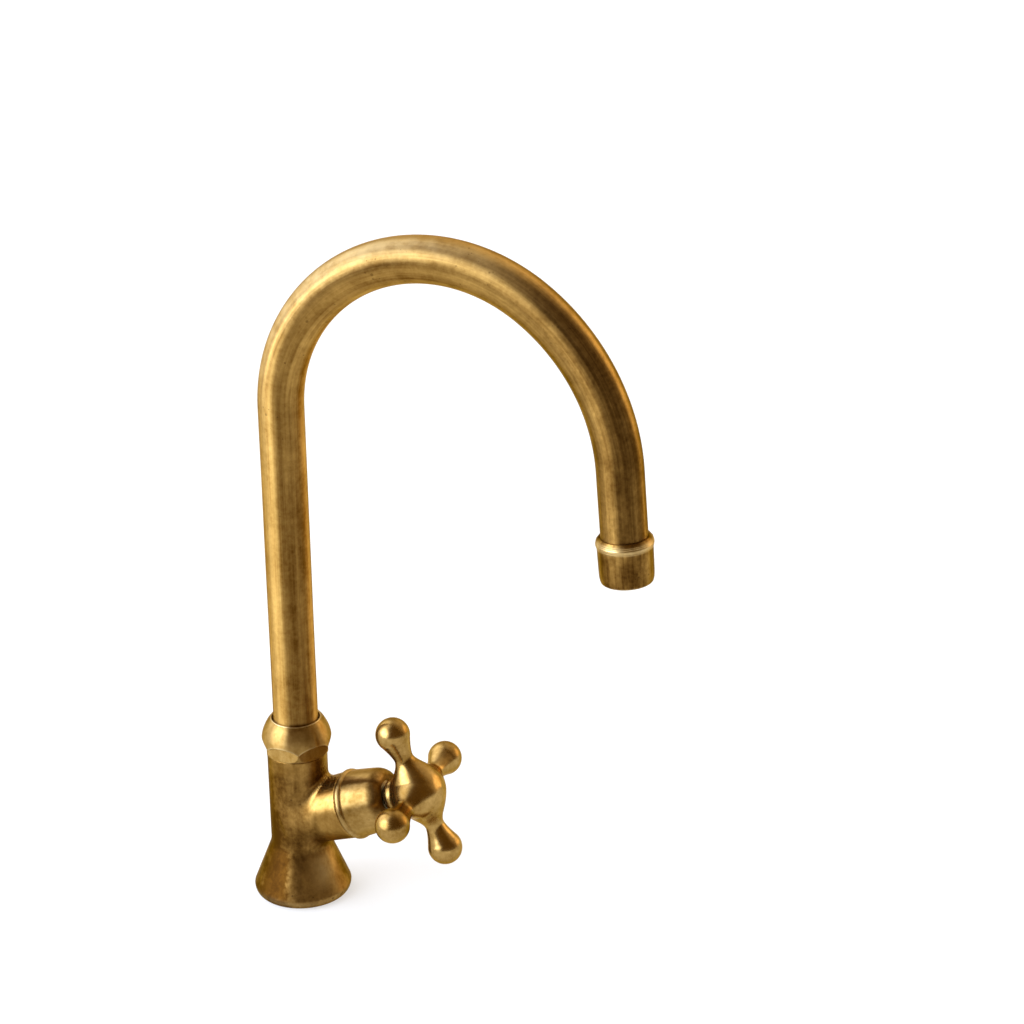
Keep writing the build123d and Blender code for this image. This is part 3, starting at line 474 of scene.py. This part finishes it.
def make_cross_handle():
    """Cast cross: a hub turned about the branch and four arms turned about lines across it, each the signed
    distance to its outline, joined by a rolling ball of 5.5 mm; less the spindle's square socket, its round
    mouth and the set screw's hole."""
    origin, side, up, way = branch_axes()
    hub = np.concatenate([
        [(0, HUB_REAR_S), (HUB_REAR_R - 0.4, HUB_REAR_S)],
        through([
            (7.3, 48.7), (7.45, 50.3), (7.55, 51.8), (8.4, 53.4), (10.2, 56.15), (11.6, HUB_S), (10.05, 67.3),
            (5.8, 71.47), (0, HUB_END_S),
        ], 60),
    ])
    arm = np.concatenate([
        [(0, 0), (5.6, 0)],
        through([(5.6, 4.0), (5.2, 9.5), (4.45, 13.45), (4.1, 16.45), (4.85, 20.05), (6.3, 24.05)], 30),
        [(BALL_R * sin(k), ARM_LEN - BALL_R * cos(k)) for k in spread(1.041, pi, 24)],
    ])

    def field(p):
        """Signed distance to the cross, negative inside."""
        q = p - origin
        s = q @ way
        x, y = q @ side, q @ up
        around = np.sqrt(x * x + y * y)
        angle = np.arctan2(y, x) - REST_TURN
        angle = np.mod(angle + pi / 4, pi / 2) - pi / 4
        along, across = around * np.cos(angle), around * np.sin(angle)
        limb = outline_distance(np.sqrt(across**2 + (s - HUB_S) ** 2), along, arm)
        cross = joined(outline_distance(around, s, hub), limb, HUB_FILLET)
        c, d = cos(REST_TURN), sin(REST_TURN)
        square = np.maximum(np.abs(c * x + d * y), np.abs(c * y - d * x)) - SQUARE_HALF
        cross = np.maximum(cross, -np.maximum(square, s - HUB_REAR_S - 12))
        cross = np.maximum(cross, -np.maximum(around - 4.6, s - HUB_REAR_S - 1))
        screw = np.sqrt(x * x + (s - HUB_REAR_S - 6) ** 2) - SCREW_HOLE_R
        return np.maximum(cross, -np.maximum(screw, y))

    reach = np.abs(side) * 36 + np.abs(up) * 36 + np.abs(way) * 14
    middle = origin + way * 59.6
    points, faces = skin(field, middle - reach, middle + reach, 0.6)
    q = points - origin
    wear_and_sheen = np.clip((np.linalg.norm(q - way * HUB_S, axis=-1) - 28) / 7, 0, 1) * 0.25
    grain = np.broadcast_to(way, points.shape)
    return new_piece("cast_cross", points, faces, points, grain, "handle",
                     ("cross_handle",), wear_and_sheen, 0.0)


def make_tee_body():
    """Cast tee: the base, column and boss turned upright, and the branch turned about its own axis, each the
    signed distance to its outline, joined by a rolling ball of 3 mm; less the bores inside. Its darkening is
    an even tarnish plus a sum of bell curves of the angle round it, fading with height: painted shade on two
    sides of the column and one side of the base, a painted highlight, lighter and paler, on another side of
    the base, a painted reflection that lightens the column's top under the nut, and less darkening on the
    branch."""
    origin, side, up, way = branch_axes()
    flare = BASE_R - BASE_EDGE_R
    upright = np.concatenate([
        [(0, 0), (BASE_EDGE_R, 0)],
        [(BASE_EDGE_R + flare * sin(k) ** 0.8, BASE_R_Z * (1 - cos(k)) ** 0.9)
         for k in spread(0.15, pi / 2, 10)],
        rounded([(BASE_R, BASE_R_Z, 0), (COLUMN_R, NECK_Z, 1.75), (COLUMN_R, COLUMN_TOP_Z - 0.2, 0.2),
                 (COLUMN_R - 0.2, COLUMN_TOP_Z, 0)], 50),
        [(BOSS_R, COLUMN_TOP_Z), (BOSS_R, BOSS_TOP_Z), (0, BOSS_TOP_Z)],
    ])
    arm = np.array([
        (0, 0), (BRANCH_ROOT_R, 0), (BRANCH_R, BRANCH_SHOULDER_S - 0.3), (BRANCH_R - 0.3, BRANCH_SHOULDER_S),
        (NOSE_WALL_R, BRANCH_SHOULDER_S), (NOSE_WALL_R, MOUTH_S), (0, MOUTH_S),
    ])

    def field(p):
        """Signed distance to the casting, negative inside."""
        q = p - origin
        s = q @ way
        off = np.sqrt((q @ side) ** 2 + (q @ up) ** 2)
        x, y, z = p[..., 0], p[..., 1], p[..., 2]
        around = np.sqrt(x * x + y * y)
        cast = joined(outline_distance(around, z, upright), outline_distance(off, s, arm), CROTCH_FILLET)
        passage = np.sqrt((x - PASSAGE_X) ** 2 + y * y) - PASSAGE_R
        for bore in (
            np.maximum(around - THREAD_R, z - SHANK_SOCKET_Z),
            np.maximum(around - INLET_R, z - INLET_TOP_Z),
            np.maximum(around - SOCKET_R, SOCKET_FLOOR_Z - z),
            np.maximum(passage, np.maximum(PASSAGE_Z - z, z - SOCKET_FLOOR_Z - 1)),
            np.maximum(off - SEAT_R, -s),
            np.maximum(off - CHAMBER_R, CHAMBER_S - s),
            np.maximum(off - THREAD_R, HEAD_THREAD_S - s),
        ):
            cast = np.maximum(cast, -bore)
        return cast

    points, faces = skin(field, (-22, -22, -0.7), (33, 22, 77), 0.62)
    q = points - origin
    s = q @ way
    branch = np.clip((16.5 - np.hypot(q @ side, q @ up)) / 1.5, 0, 1)
    share = (np.clip((s - 13.5) / 3, 0, 1) * branch)[:, None]
    grain = (1 - share) * np.array([0, 0, 1.0]) + share * way
    height = points[:, 2]
    around = np.hypot(points[:, 0], points[:, 1])
    turn = np.degrees(np.arctan2(points[:, 1], points[:, 0]))

    def band(middle, reach):
        """Bell curve of the angle round the casting, in degrees from the front."""
        return np.exp(-((np.mod(turn - middle + 180, 360) - 180) / reach) ** 2)

    # Painted shade on two sides of the column and one side of the base, a painted highlight on another side
    # of the base, and a painted reflection lightening the column's top under the nut, over an even tarnish
    # that is less on the branch
    column = 1.0 + 0.7 * band(-144.4, 26) + 0.55 * band(-14.4, 22) - 0.45 * np.clip((height - 58) / 4, 0, 1)
    base = 0.88 + 0.75 * band(-106.4, 30) - 0.82 * band(-30.4, 27) * np.clip((height - 4) / 7, 0, 1)
    stem = base + (column - base) * np.clip((height - 19) / 6, 0, 1)
    tarnish_and_shade = stem + (0.3 - stem) * np.clip((s - 13) / 5, 0, 1) * branch
    rim = np.exp(-(((height - 2.4) / 1.2) ** 2)) * (around > 19)
    # Painted highlight: a pale band on one side of the base, passed on as wear; the rim is real wear
    painted_highlight_band = band(-32.4, 15) * np.clip((height - 6) / 7, 0, 1) * np.clip((22 - height) / 3, 0, 1)
    return new_piece("cast_tee", points, faces, points, grain, "body", ("valve_body",),
                     0.15 * rim + 0.45 * painted_highlight_band, tarnish_and_shade)


def make_threaded_shank():
    """Pipe whose outer radius falls by a triangle wave of (height / pitch - angle / full turn), one helical
    groove, fading out at its plain relief and at both ends; the bore goes back down inside."""
    a = spread(0, 2 * pi, 97)[:-1]
    z = spread(SHANK_LOW_Z, SHANK_TOP_Z, 560)
    turn = np.mod(z[:, None] / THREAD_PITCH - a / (2 * pi), 1.0)
    groove = np.clip(np.abs(2 * turn - 1) * 1.25 - 0.12, 0, 1)
    relief = np.clip((np.abs(z + 33.75) - 0.75) / 0.4, 0, 1)[:, None]
    ends = np.clip(np.minimum(z - SHANK_LOW_Z, SHANK_TOP_Z - z) / 0.8, 0, 1)[:, None]
    outer = SHANK_R - 1.0 * groove * relief - 0.9 * (1 - relief) - 0.8 * (1 - ends) * (1 - groove)
    back_down = spread(SHANK_TOP_Z, SHANK_LOW_Z, 30)
    radius = np.concatenate([outer, np.full((len(back_down), len(a)), SHANK_BORE_R)])
    height = np.concatenate([z, back_down])[:, None] + 0 * a
    points = np.stack([radius * np.cos(a), radius * np.sin(a), height], -1)
    grain = np.stack([-np.sin(a) + 0 * height, np.cos(a) + 0 * height, 0 * height], -1)
    return new_piece("threaded_tail", points, grid_faces(len(height), len(a), True), points, grain,
                     "body", ("threaded_shank",))


def make_screen_mesh():
    """Woven wires across the mouth: wire k runs along one way at k pitches from the middle, rising and
    falling as a cosine of its length, out of step with its neighbours; the second set crosses the first."""
    origin, u, v, w = tail_axes()
    pitch, wire, reach = 1.0, 0.11, SCREEN_HOLE_R - 0.1
    phi = spread(0, 2 * pi, 9)[:-1]
    t = spread(-1, 1, 90)
    fat = wire * np.sqrt(np.clip(1 - t**40, 0, 1))
    k = np.arange(-7, 8)
    half = np.sqrt(reach**2 - (k * pitch) ** 2)
    run = half[:, None] * t
    blocks = []
    for first, second, sign in ((u, v, 1), (v, u, -1)):
        rise = sign * wire * np.cos(pi * run / pitch + pi * k[:, None])
        centre = (
            origin + (SCREEN_FOOT + 0.3) * w + run[..., None] * first + (k * pitch)[:, None, None] * second
            + rise[..., None] * w
        )
        ring = sign * np.cos(phi)[:, None] * second + np.sin(phi)[:, None] * w
        blocks.append(centre[:, :, None, :] + fat[None, :, None, None] * ring)
    points = np.concatenate(blocks).reshape(-1, 3)
    one = grid_faces(len(t), len(phi), False)
    count = 2 * len(k)
    faces = (one[None] + (np.arange(count) * len(t) * len(phi))[:, None, None]).reshape(-1, 4)
    grain = np.broadcast_to(w, points.shape)
    return new_piece("screen_mesh", points, faces, points, grain, "spout")


# Materials
def nodes_of(name):
    """A fresh node material: its tree and its shader."""
    material = bpy.data.materials.new(name)
    material.use_nodes = True
    tree = material.node_tree
    return material, tree, tree.nodes["Principled BSDF"]


def put(tree, kind, inputs=None, **settings):
    """Adds a node, sets its properties, and links or sets its inputs."""
    node = tree.nodes.new("ShaderNode" + kind)
    for key, value in settings.items():
        setattr(node, key, value)
    for key, value in (inputs or {}).items():
        if isinstance(value, bpy.types.NodeSocket):
            tree.links.new(value, node.inputs[key])
        else:
            node.inputs[key].default_value = value
    return node


def ramp(tree, value, stops):
    """Colour ramp through the given (position, colour) stops."""
    node = put(tree, "ValToRGB", {"Fac": value})
    node.color_ramp.elements[0].position, node.color_ramp.elements[0].color = stops[0][0], (*stops[0][1], 1)
    node.color_ramp.elements[1].position, node.color_ramp.elements[1].color = stops[-1][0], (*stops[-1][1], 1)
    for position, colour in stops[1:-1]:
        element = node.color_ramp.elements.new(position)
        element.color = (*colour, 1)
    return node.outputs["Color"]


def mixed(tree, factor, first, second):
    """Colour that goes from the first to the second by the factor."""
    node = put(tree, "Mix", data_type="RGBA")
    for key, value in (("Factor", factor), ("A", first), ("B", second)):
        if isinstance(value, bpy.types.NodeSocket):
            tree.links.new(value, node.inputs[key])
        else:
            node.inputs[key].default_value = value if key == "Factor" else (*value, 1)
    return node.outputs["Result"]


def sums(tree, kind, *values):
    """Result of one Math node."""
    return put(tree, "Math", dict(enumerate(values)), operation=kind).outputs[0]


def level(tree, value, low, high, to_low=0.0, to_high=1.0):
    """Maps low..high of a value to to_low..to_high and holds it there beyond."""
    ends = {"Value": value, "From Min": low, "From Max": high, "To Min": to_low, "To Max": to_high}
    return put(tree, "MapRange", ends).outputs[0]


def noise(tree, where, scale, detail=4.0, rough=0.6):
    """Cloudy pattern of the given scale, in layers of ever finer clouds."""
    settings = {"Vector": where, "Scale": scale, "Detail": detail, "Roughness": rough}
    return put(tree, "TexNoise", settings).outputs["Fac"]


def stretched(tree, where, scale):
    """Places scaled by another amount along each axis, for streaks."""
    return put(tree, "Mapping", {"Vector": where, "Scale": scale}).outputs["Vector"]


def cell_distance(tree, where, scale):
    """Distance to the nearest of randomly strewn points."""
    return put(tree, "TexVoronoi", {"Vector": where, "Scale": scale}).outputs["Distance"]


def raised(tree, height, strength, depth, over=None):
    """Normal of a bump of the given depth, on top of an earlier one where there is one."""
    inputs = {"Height": height, "Strength": strength, "Distance": depth}
    if over is not None:
        inputs["Normal"] = over
    return put(tree, "Bump", inputs).outputs["Normal"]


# Patina colours serve real tarnish and painted shade; the worn colour serves real wear and painted highlights
DARK_PATINA_AND_SHADE = (0.054, 0.021, 0.003)
BROWN_PATINA_AND_SHADE = (0.110, 0.046, 0.006)
WORN_BRASS_AND_SHEEN = (0.62, 0.47, 0.22)
SPOT = (0.05, 0.022, 0.006)


def aged_brass(name, light, dark, rough, streak, share, spin=0.0, wear_and_sheen_of=None, tarnish_and_shade_of=None, pits=None,
               ripple=0.3, spots=0.55, dull=0.0):
    """Unlacquered brass. Colour: a ramp over streaks along the grain and broad clouds, browner where
    tarnished and where shade is painted, paler where worn and where a highlight is painted, with small dark
    spots. Roughness follows the same pattern, and grows by dull with the tarnish and painted shade; the bump
    is fine scratches along the grain, slow ripples and, where asked, casting pits."""
    material, tree, shader = nodes_of(name)
    place = put(tree, "TexCoord").outputs["Object"]
    along = put(tree, "Attribute", attribute_name="lay").outputs["Vector"]
    lines = noise(tree, stretched(tree, along, streak), 1.0, 5.0, 0.62)
    broad_lines = noise(tree, stretched(tree, along, tuple(k * 0.3 for k in streak)), 1.0, 3.0, 0.5)
    cloud = noise(tree, place, 42.0, 5.0, 0.66)
    stain = noise(tree, place, 130.0, 4.0, 0.7)
    streaks = sums(tree, "MULTIPLY_ADD", broad_lines, 0.6, sums(tree, "MULTIPLY", lines, 0.4))
    fine = noise(tree, place, 620.0, 3.0)
    blotch = sums(tree, "MULTIPLY_ADD", stain, 0.3, sums(tree, "MULTIPLY", cloud, 0.48))
    blotch = sums(tree, "MULTIPLY_ADD", fine, 0.22, blotch)
    pattern = sums(tree, "MULTIPLY_ADD", streaks, share, sums(tree, "MULTIPLY", blotch, 1 - share))
    middle = tuple(0.5 * (a + b) for a, b in zip(light, dark))
    colour = ramp(tree, pattern, [(0.40, dark), (0.50, middle), (0.60, light)])
    if tarnish_and_shade_of is not None:
        amount = tarnish_and_shade_of(tree, place)
        amount = sums(tree, "MULTIPLY", amount, level(tree, pattern, 0.40, 0.60, 1.0, 0.5))
        patina_and_shade = ramp(tree, pattern, [(0.43, DARK_PATINA_AND_SHADE), (0.57, BROWN_PATINA_AND_SHADE)])
        colour = mixed(tree, amount, colour, patina_and_shade)
    if wear_and_sheen_of is not None:
        amount = sums(tree, "MULTIPLY", wear_and_sheen_of(tree), level(tree, stain, 0.35, 0.6, 0.45, 1.0))
        colour = mixed(tree, amount, colour, WORN_BRASS_AND_SHEEN)
    cells = cell_distance(tree, place, 380.0)
    gate = noise(tree, place, 70.0, 2.0)
    is_spot = sums(tree, "GREATER_THAN", level(tree, gate, 0.52, 0.72, 0.0, 0.26), cells)
    colour = mixed(tree, sums(tree, "MULTIPLY", is_spot, spots), colour, SPOT)
    tree.links.new(colour, shader.inputs["Base Color"])
    shader.inputs["Metallic"].default_value = 1.0
    shader.inputs["Specular Tint"].default_value = EDGE_TINT
    coarse = level(tree, pattern, 0.40, 0.60, rough[1], rough[0])
    if dull:
        coarse = sums(tree, "MULTIPLY_ADD", level(tree, tarnish_and_shade_of(tree, place), 0.4, 1.3), dull, coarse)
    tree.links.new(coarse, shader.inputs["Roughness"])
    height = sums(tree, "MULTIPLY_ADD", fine, 0.3, lines)
    bumped = raised(tree, height, 0.25, 0.00008)
    bumped = raised(tree, noise(tree, place, 75.0, 1.0), ripple, 0.0006, bumped)
    if pits is not None:
        sunk = sums(tree, "MULTIPLY", cell_distance(tree, place, 900.0), pits(tree, place))
        bumped = raised(tree, sunk, 0.9, 0.0006, bumped)
    tree.links.new(bumped, shader.inputs["Normal"])
    shader.inputs["Anisotropic"].default_value = spin
    if spin:
        grain = put(tree, "Attribute", attribute_name="grain").outputs["Vector"]
        tree.links.new(grain, shader.inputs["Tangent"])
    return material


def attribute(name):
    """Reader of one of the numbers that a piece keeps at its points."""
    return lambda tree, place=None: put(tree, "Attribute", attribute_name=name).outputs["Fac"]


def in_the_crotch(tree, place):
    """One inside a ball of 9 mm round the upper corner between column and branch, fading to nothing."""
    corner = (0.0165, 0.0, 0.0575)
    away = put(tree, "VectorMath", {0: place, 1: corner}, operation="DISTANCE").outputs["Value"]
    return level(tree, away, 0.0035, 0.009, 1.0, 0.0)


def plain_stuff(name, colour, rough, metal=0.0, grain=300.0, depth=0.00005, vary=0.12):
    """A hidden part's finish: one colour with slight mottling and a fine grain."""
    material, tree, shader = nodes_of(name)
    place = put(tree, "TexCoord").outputs["Object"]
    cloud = noise(tree, place, 90.0, 4.0, 0.5)
    low = tuple(c * (1 - vary) for c in colour)
    high = tuple(min(1, c * (1 + vary)) for c in colour)
    tree.links.new(ramp(tree, cloud, [(0.3, low), (0.7, high)]), shader.inputs["Base Color"])
    shader.inputs["Metallic"].default_value = metal
    tree.links.new(level(tree, cloud, 0.0, 1.0, rough - 0.06, rough + 0.06), shader.inputs["Roughness"])
    fine = noise(tree, place, grain, 3.0, 0.5)
    tree.links.new(raised(tree, fine, 0.3, depth), shader.inputs["Normal"])
    return material


LIGHT_BRASS = (0.56, 0.34, 0.090)
DARK_BRASS = (0.17, 0.072, 0.007)
LIGHT_CAST = (0.48, 0.29, 0.080)
DARK_CAST = (0.24, 0.120, 0.020)
LIGHT_POLISH = (0.46, 0.295, 0.095)
DARK_POLISH = (0.20, 0.102, 0.016)
EDGE_TINT = (0.80, 0.64, 0.40, 1)

tube_finish = aged_brass(
    "drawn_brass", LIGHT_BRASS, DARK_BRASS, (0.40, 0.50), (600, 600, 14), 0.56, spin=0.95,
    wear_and_sheen_of=attribute("wear_and_sheen"), tarnish_and_shade_of=attribute("tarnish_and_shade"), spots=0.4,
)
collar_finish = aged_brass(
    "filed_brass", LIGHT_BRASS, DARK_BRASS, (0.30, 0.46), (700, 700, 60), 0.5, spin=0.7,
    wear_and_sheen_of=attribute("wear_and_sheen"), tarnish_and_shade_of=attribute("tarnish_and_shade"),
)
nut_finish = aged_brass(
    "polished_nut", LIGHT_POLISH, DARK_POLISH, (0.30, 0.40), (260, 260, 60), 0.4, spin=0.95,
    wear_and_sheen_of=attribute("wear_and_sheen"), ripple=0.12, spots=0.3,
)
bonnet_finish = aged_brass(
    "polished_bonnet", LIGHT_POLISH, DARK_POLISH, (0.30, 0.40), (260, 260, 60), 0.3, spin=0.9,
    wear_and_sheen_of=attribute("wear_and_sheen"), tarnish_and_shade_of=attribute("tarnish_and_shade"), ripple=0.12, spots=0.3,
)
handle_finish = aged_brass(
    "polished_casting", LIGHT_POLISH, DARK_POLISH, (0.21, 0.31), (220, 220, 220), 0.3, ripple=0.2, spots=0.5,
)
cast_finish = aged_brass(
    "cast_brass", LIGHT_CAST, DARK_CAST, (0.26, 0.36), (420, 420, 40), 0.35, spin=0.6,
    wear_and_sheen_of=attribute("wear_and_sheen"), tarnish_and_shade_of=attribute("tarnish_and_shade"), pits=in_the_crotch, ripple=0.35, dull=0.18,
)
finishes = {
    "tube_brass": tube_finish,
    "cast_brass": cast_finish,
    "turned_brass": nut_finish,
    "inner_brass": plain_stuff("plain_brass", (0.83, 0.62, 0.30), 0.3, 1.0),
    "steel": plain_stuff("plated_steel", (0.62, 0.62, 0.63), 0.35, 1.0),
    "spring_steel": plain_stuff("spring_steel", (0.45, 0.46, 0.48), 0.3, 1.0),
    "black_rubber": plain_stuff("black_rubber", (0.03, 0.03, 0.03), 0.6),
    "white_plastic": plain_stuff("slippery_plastic", (0.80, 0.79, 0.74), 0.4, vary=0.04),
    "grey_plastic": plain_stuff("grey_plastic", (0.45, 0.46, 0.47), 0.45, vary=0.06),
    "fibre": plain_stuff("sealing_fibre", (0.32, 0.09, 0.05), 0.8, grain=700.0),
    "ceramic": plain_stuff("lapped_ceramic", (0.85, 0.84, 0.79), 0.15, vary=0.03),
}

slot_of = {part["node"]: part["material_slot"] for part in frame["record"]["subparts"]}
for node, slot_name in slot_of.items():
    part = bpy.data.objects[node]
    part.data.materials.clear()
    part.data.materials.append(finishes[slot_name])

for piece, finish in (
    (make_spout_tube(), tube_finish),
    (make_collar(), collar_finish),
    (make_spout_nut(), nut_finish),
    (make_bonnet(), bonnet_finish),
    (make_tee_body(), cast_finish),
    (make_cross_handle(), handle_finish),
    (make_threaded_shank(), finishes["inner_brass"]),
    (make_screen_mesh(), finishes["spring_steel"]),
):
    piece.data.materials.append(finish)


# Camera
def object_axes(v):
    """Turns a vector of the fitted view, right and away and up, into the faucet's own axes."""
    a = CAMERA_AZIMUTH
    return np.array([cos(a) * v[0] - sin(a) * v[1], sin(a) * v[0] + cos(a) * v[1], v[2]])


def add_camera():
    """Camera from its fitted pitch and roll, set so that the middle of the base falls on its own pixel."""
    right = np.array([1.0, 0.0, 0.0])
    away = np.array([0.0, cos(CAMERA_PITCH), -sin(CAMERA_PITCH)])
    up = np.array([0.0, sin(CAMERA_PITCH), cos(CAMERA_PITCH)])
    c, s = cos(CAMERA_ROLL), sin(CAMERA_ROLL)
    right, up = c * right + s * up, -s * right + c * up
    half = FRAME_PIXELS / 2
    across = (BASE_PIXEL[0] - half) / FOCAL_PIXELS * BASE_DEPTH
    above = (half - BASE_PIXEL[1]) / FOCAL_PIXELS * BASE_DEPTH
    eye = -(across * right + above * up + BASE_DEPTH * away)
    data = bpy.data.cameras.new("view")
    data.sensor_width = 36.0
    data.lens = FOCAL_PIXELS / FRAME_PIXELS * 36.0
    data.clip_end = 50.0
    camera = bpy.data.objects.new("view", data)
    bpy.context.scene.collection.objects.link(camera)
    x, y, z = object_axes(right), object_axes(up), object_axes(-away)
    place = object_axes(eye) * MM
    camera.matrix_world = Matrix(
        [[x[k], y[k], z[k], place[k]] for k in range(3)] + [[0, 0, 0, 1]]
    )
    bpy.context.scene.camera = camera


add_camera()


# Floor and light
FLOOR_LIFT = 0.6
SURROUND = (0.19, 0.11, 0.025)
# Each light: degrees right of the camera's side, degrees up, half angle at full strength, half angle where
# it ends, colour. A cool window with its wide glow at the left, a narrow warm one and its glow at the right,
# and a pale wall behind
LOBES = (
    (-62, 20, 5, 37, (5.8, 6.6, 8.3)),
    (-106, 36, 10, 52, (2.5, 2.75, 3.5)),
    (116, 12, 4, 24, (2.4, 1.8, 1.2)),
    (122, 25, 20, 55, (0.5, 0.42, 0.32)),
    (180, 40, 15, 65, (0.6, 0.6, 0.6)),
)


def add_floor():
    """A wide white sheet; to the eye, in gloss and through glass its own white is lifted to paper white."""
    mesh = bpy.data.meshes.new("floor")
    mesh.from_pydata([(-6, -6, 0), (6, -6, 0), (6, 6, 0), (-6, 6, 0)], [], [(0, 1, 2, 3)])
    floor = bpy.data.objects.new("floor", mesh)
    bpy.context.scene.collection.objects.link(floor)
    material, tree, shader = nodes_of("white_floor")
    shader.inputs["Base Color"].default_value = (0.40, 0.40, 0.38, 1)
    shader.inputs["Roughness"].default_value = 0.9
    shader.inputs["Specular IOR Level"].default_value = 0.0
    rays = put(tree, "LightPath").outputs
    seen = sums(tree, "MAXIMUM", rays["Is Camera Ray"], rays["Is Glossy Ray"])
    seen = sums(tree, "MAXIMUM", seen, rays["Is Transmission Ray"])
    shader.inputs["Emission Color"].default_value = (1, 1, 1, 1)
    tree.links.new(sums(tree, "MULTIPLY", seen, FLOOR_LIFT), shader.inputs["Emission Strength"])
    mesh.materials.append(material)


def seen_from_camera(azimuth, elevation):
    """Unit vector toward a place given by its angle right of the camera's side and its height."""
    az, el = radians(azimuth), radians(elevation)
    return object_axes((sin(az) * cos(el), -cos(az) * cos(el), sin(el)))


def add_world():
    """Studio room as soft lobes of light by direction, over a dim warm surround."""
    world = bpy.data.worlds.new("studio")
    bpy.context.scene.world = world
    world.use_nodes = True
    tree = world.node_tree
    back = tree.nodes["Background"]
    way = put(tree, "TexCoord").outputs["Generated"]
    total = SURROUND
    for azimuth, elevation, inner, outer, colour in LOBES:
        toward = seen_from_camera(azimuth, elevation)
        facing = put(tree, "VectorMath", {0: way, 1: toward}, operation="DOT_PRODUCT").outputs["Value"]
        ends = {"Value": facing, "From Min": cos(radians(outer)), "From Max": cos(radians(inner))}
        lobe = put(tree, "MapRange", ends, interpolation_type="SMOOTHSTEP").outputs[0]
        light = put(tree, "VectorMath", {0: colour, "Scale": lobe}, operation="SCALE").outputs[0]
        total = put(tree, "VectorMath", {0: total, 1: light}, operation="ADD").outputs[0]
    tree.links.new(total, back.inputs["Color"])
    back.inputs["Strength"].default_value = 1.0


add_floor()
add_world()
bpy.context.scene.view_settings.view_transform = "Standard"
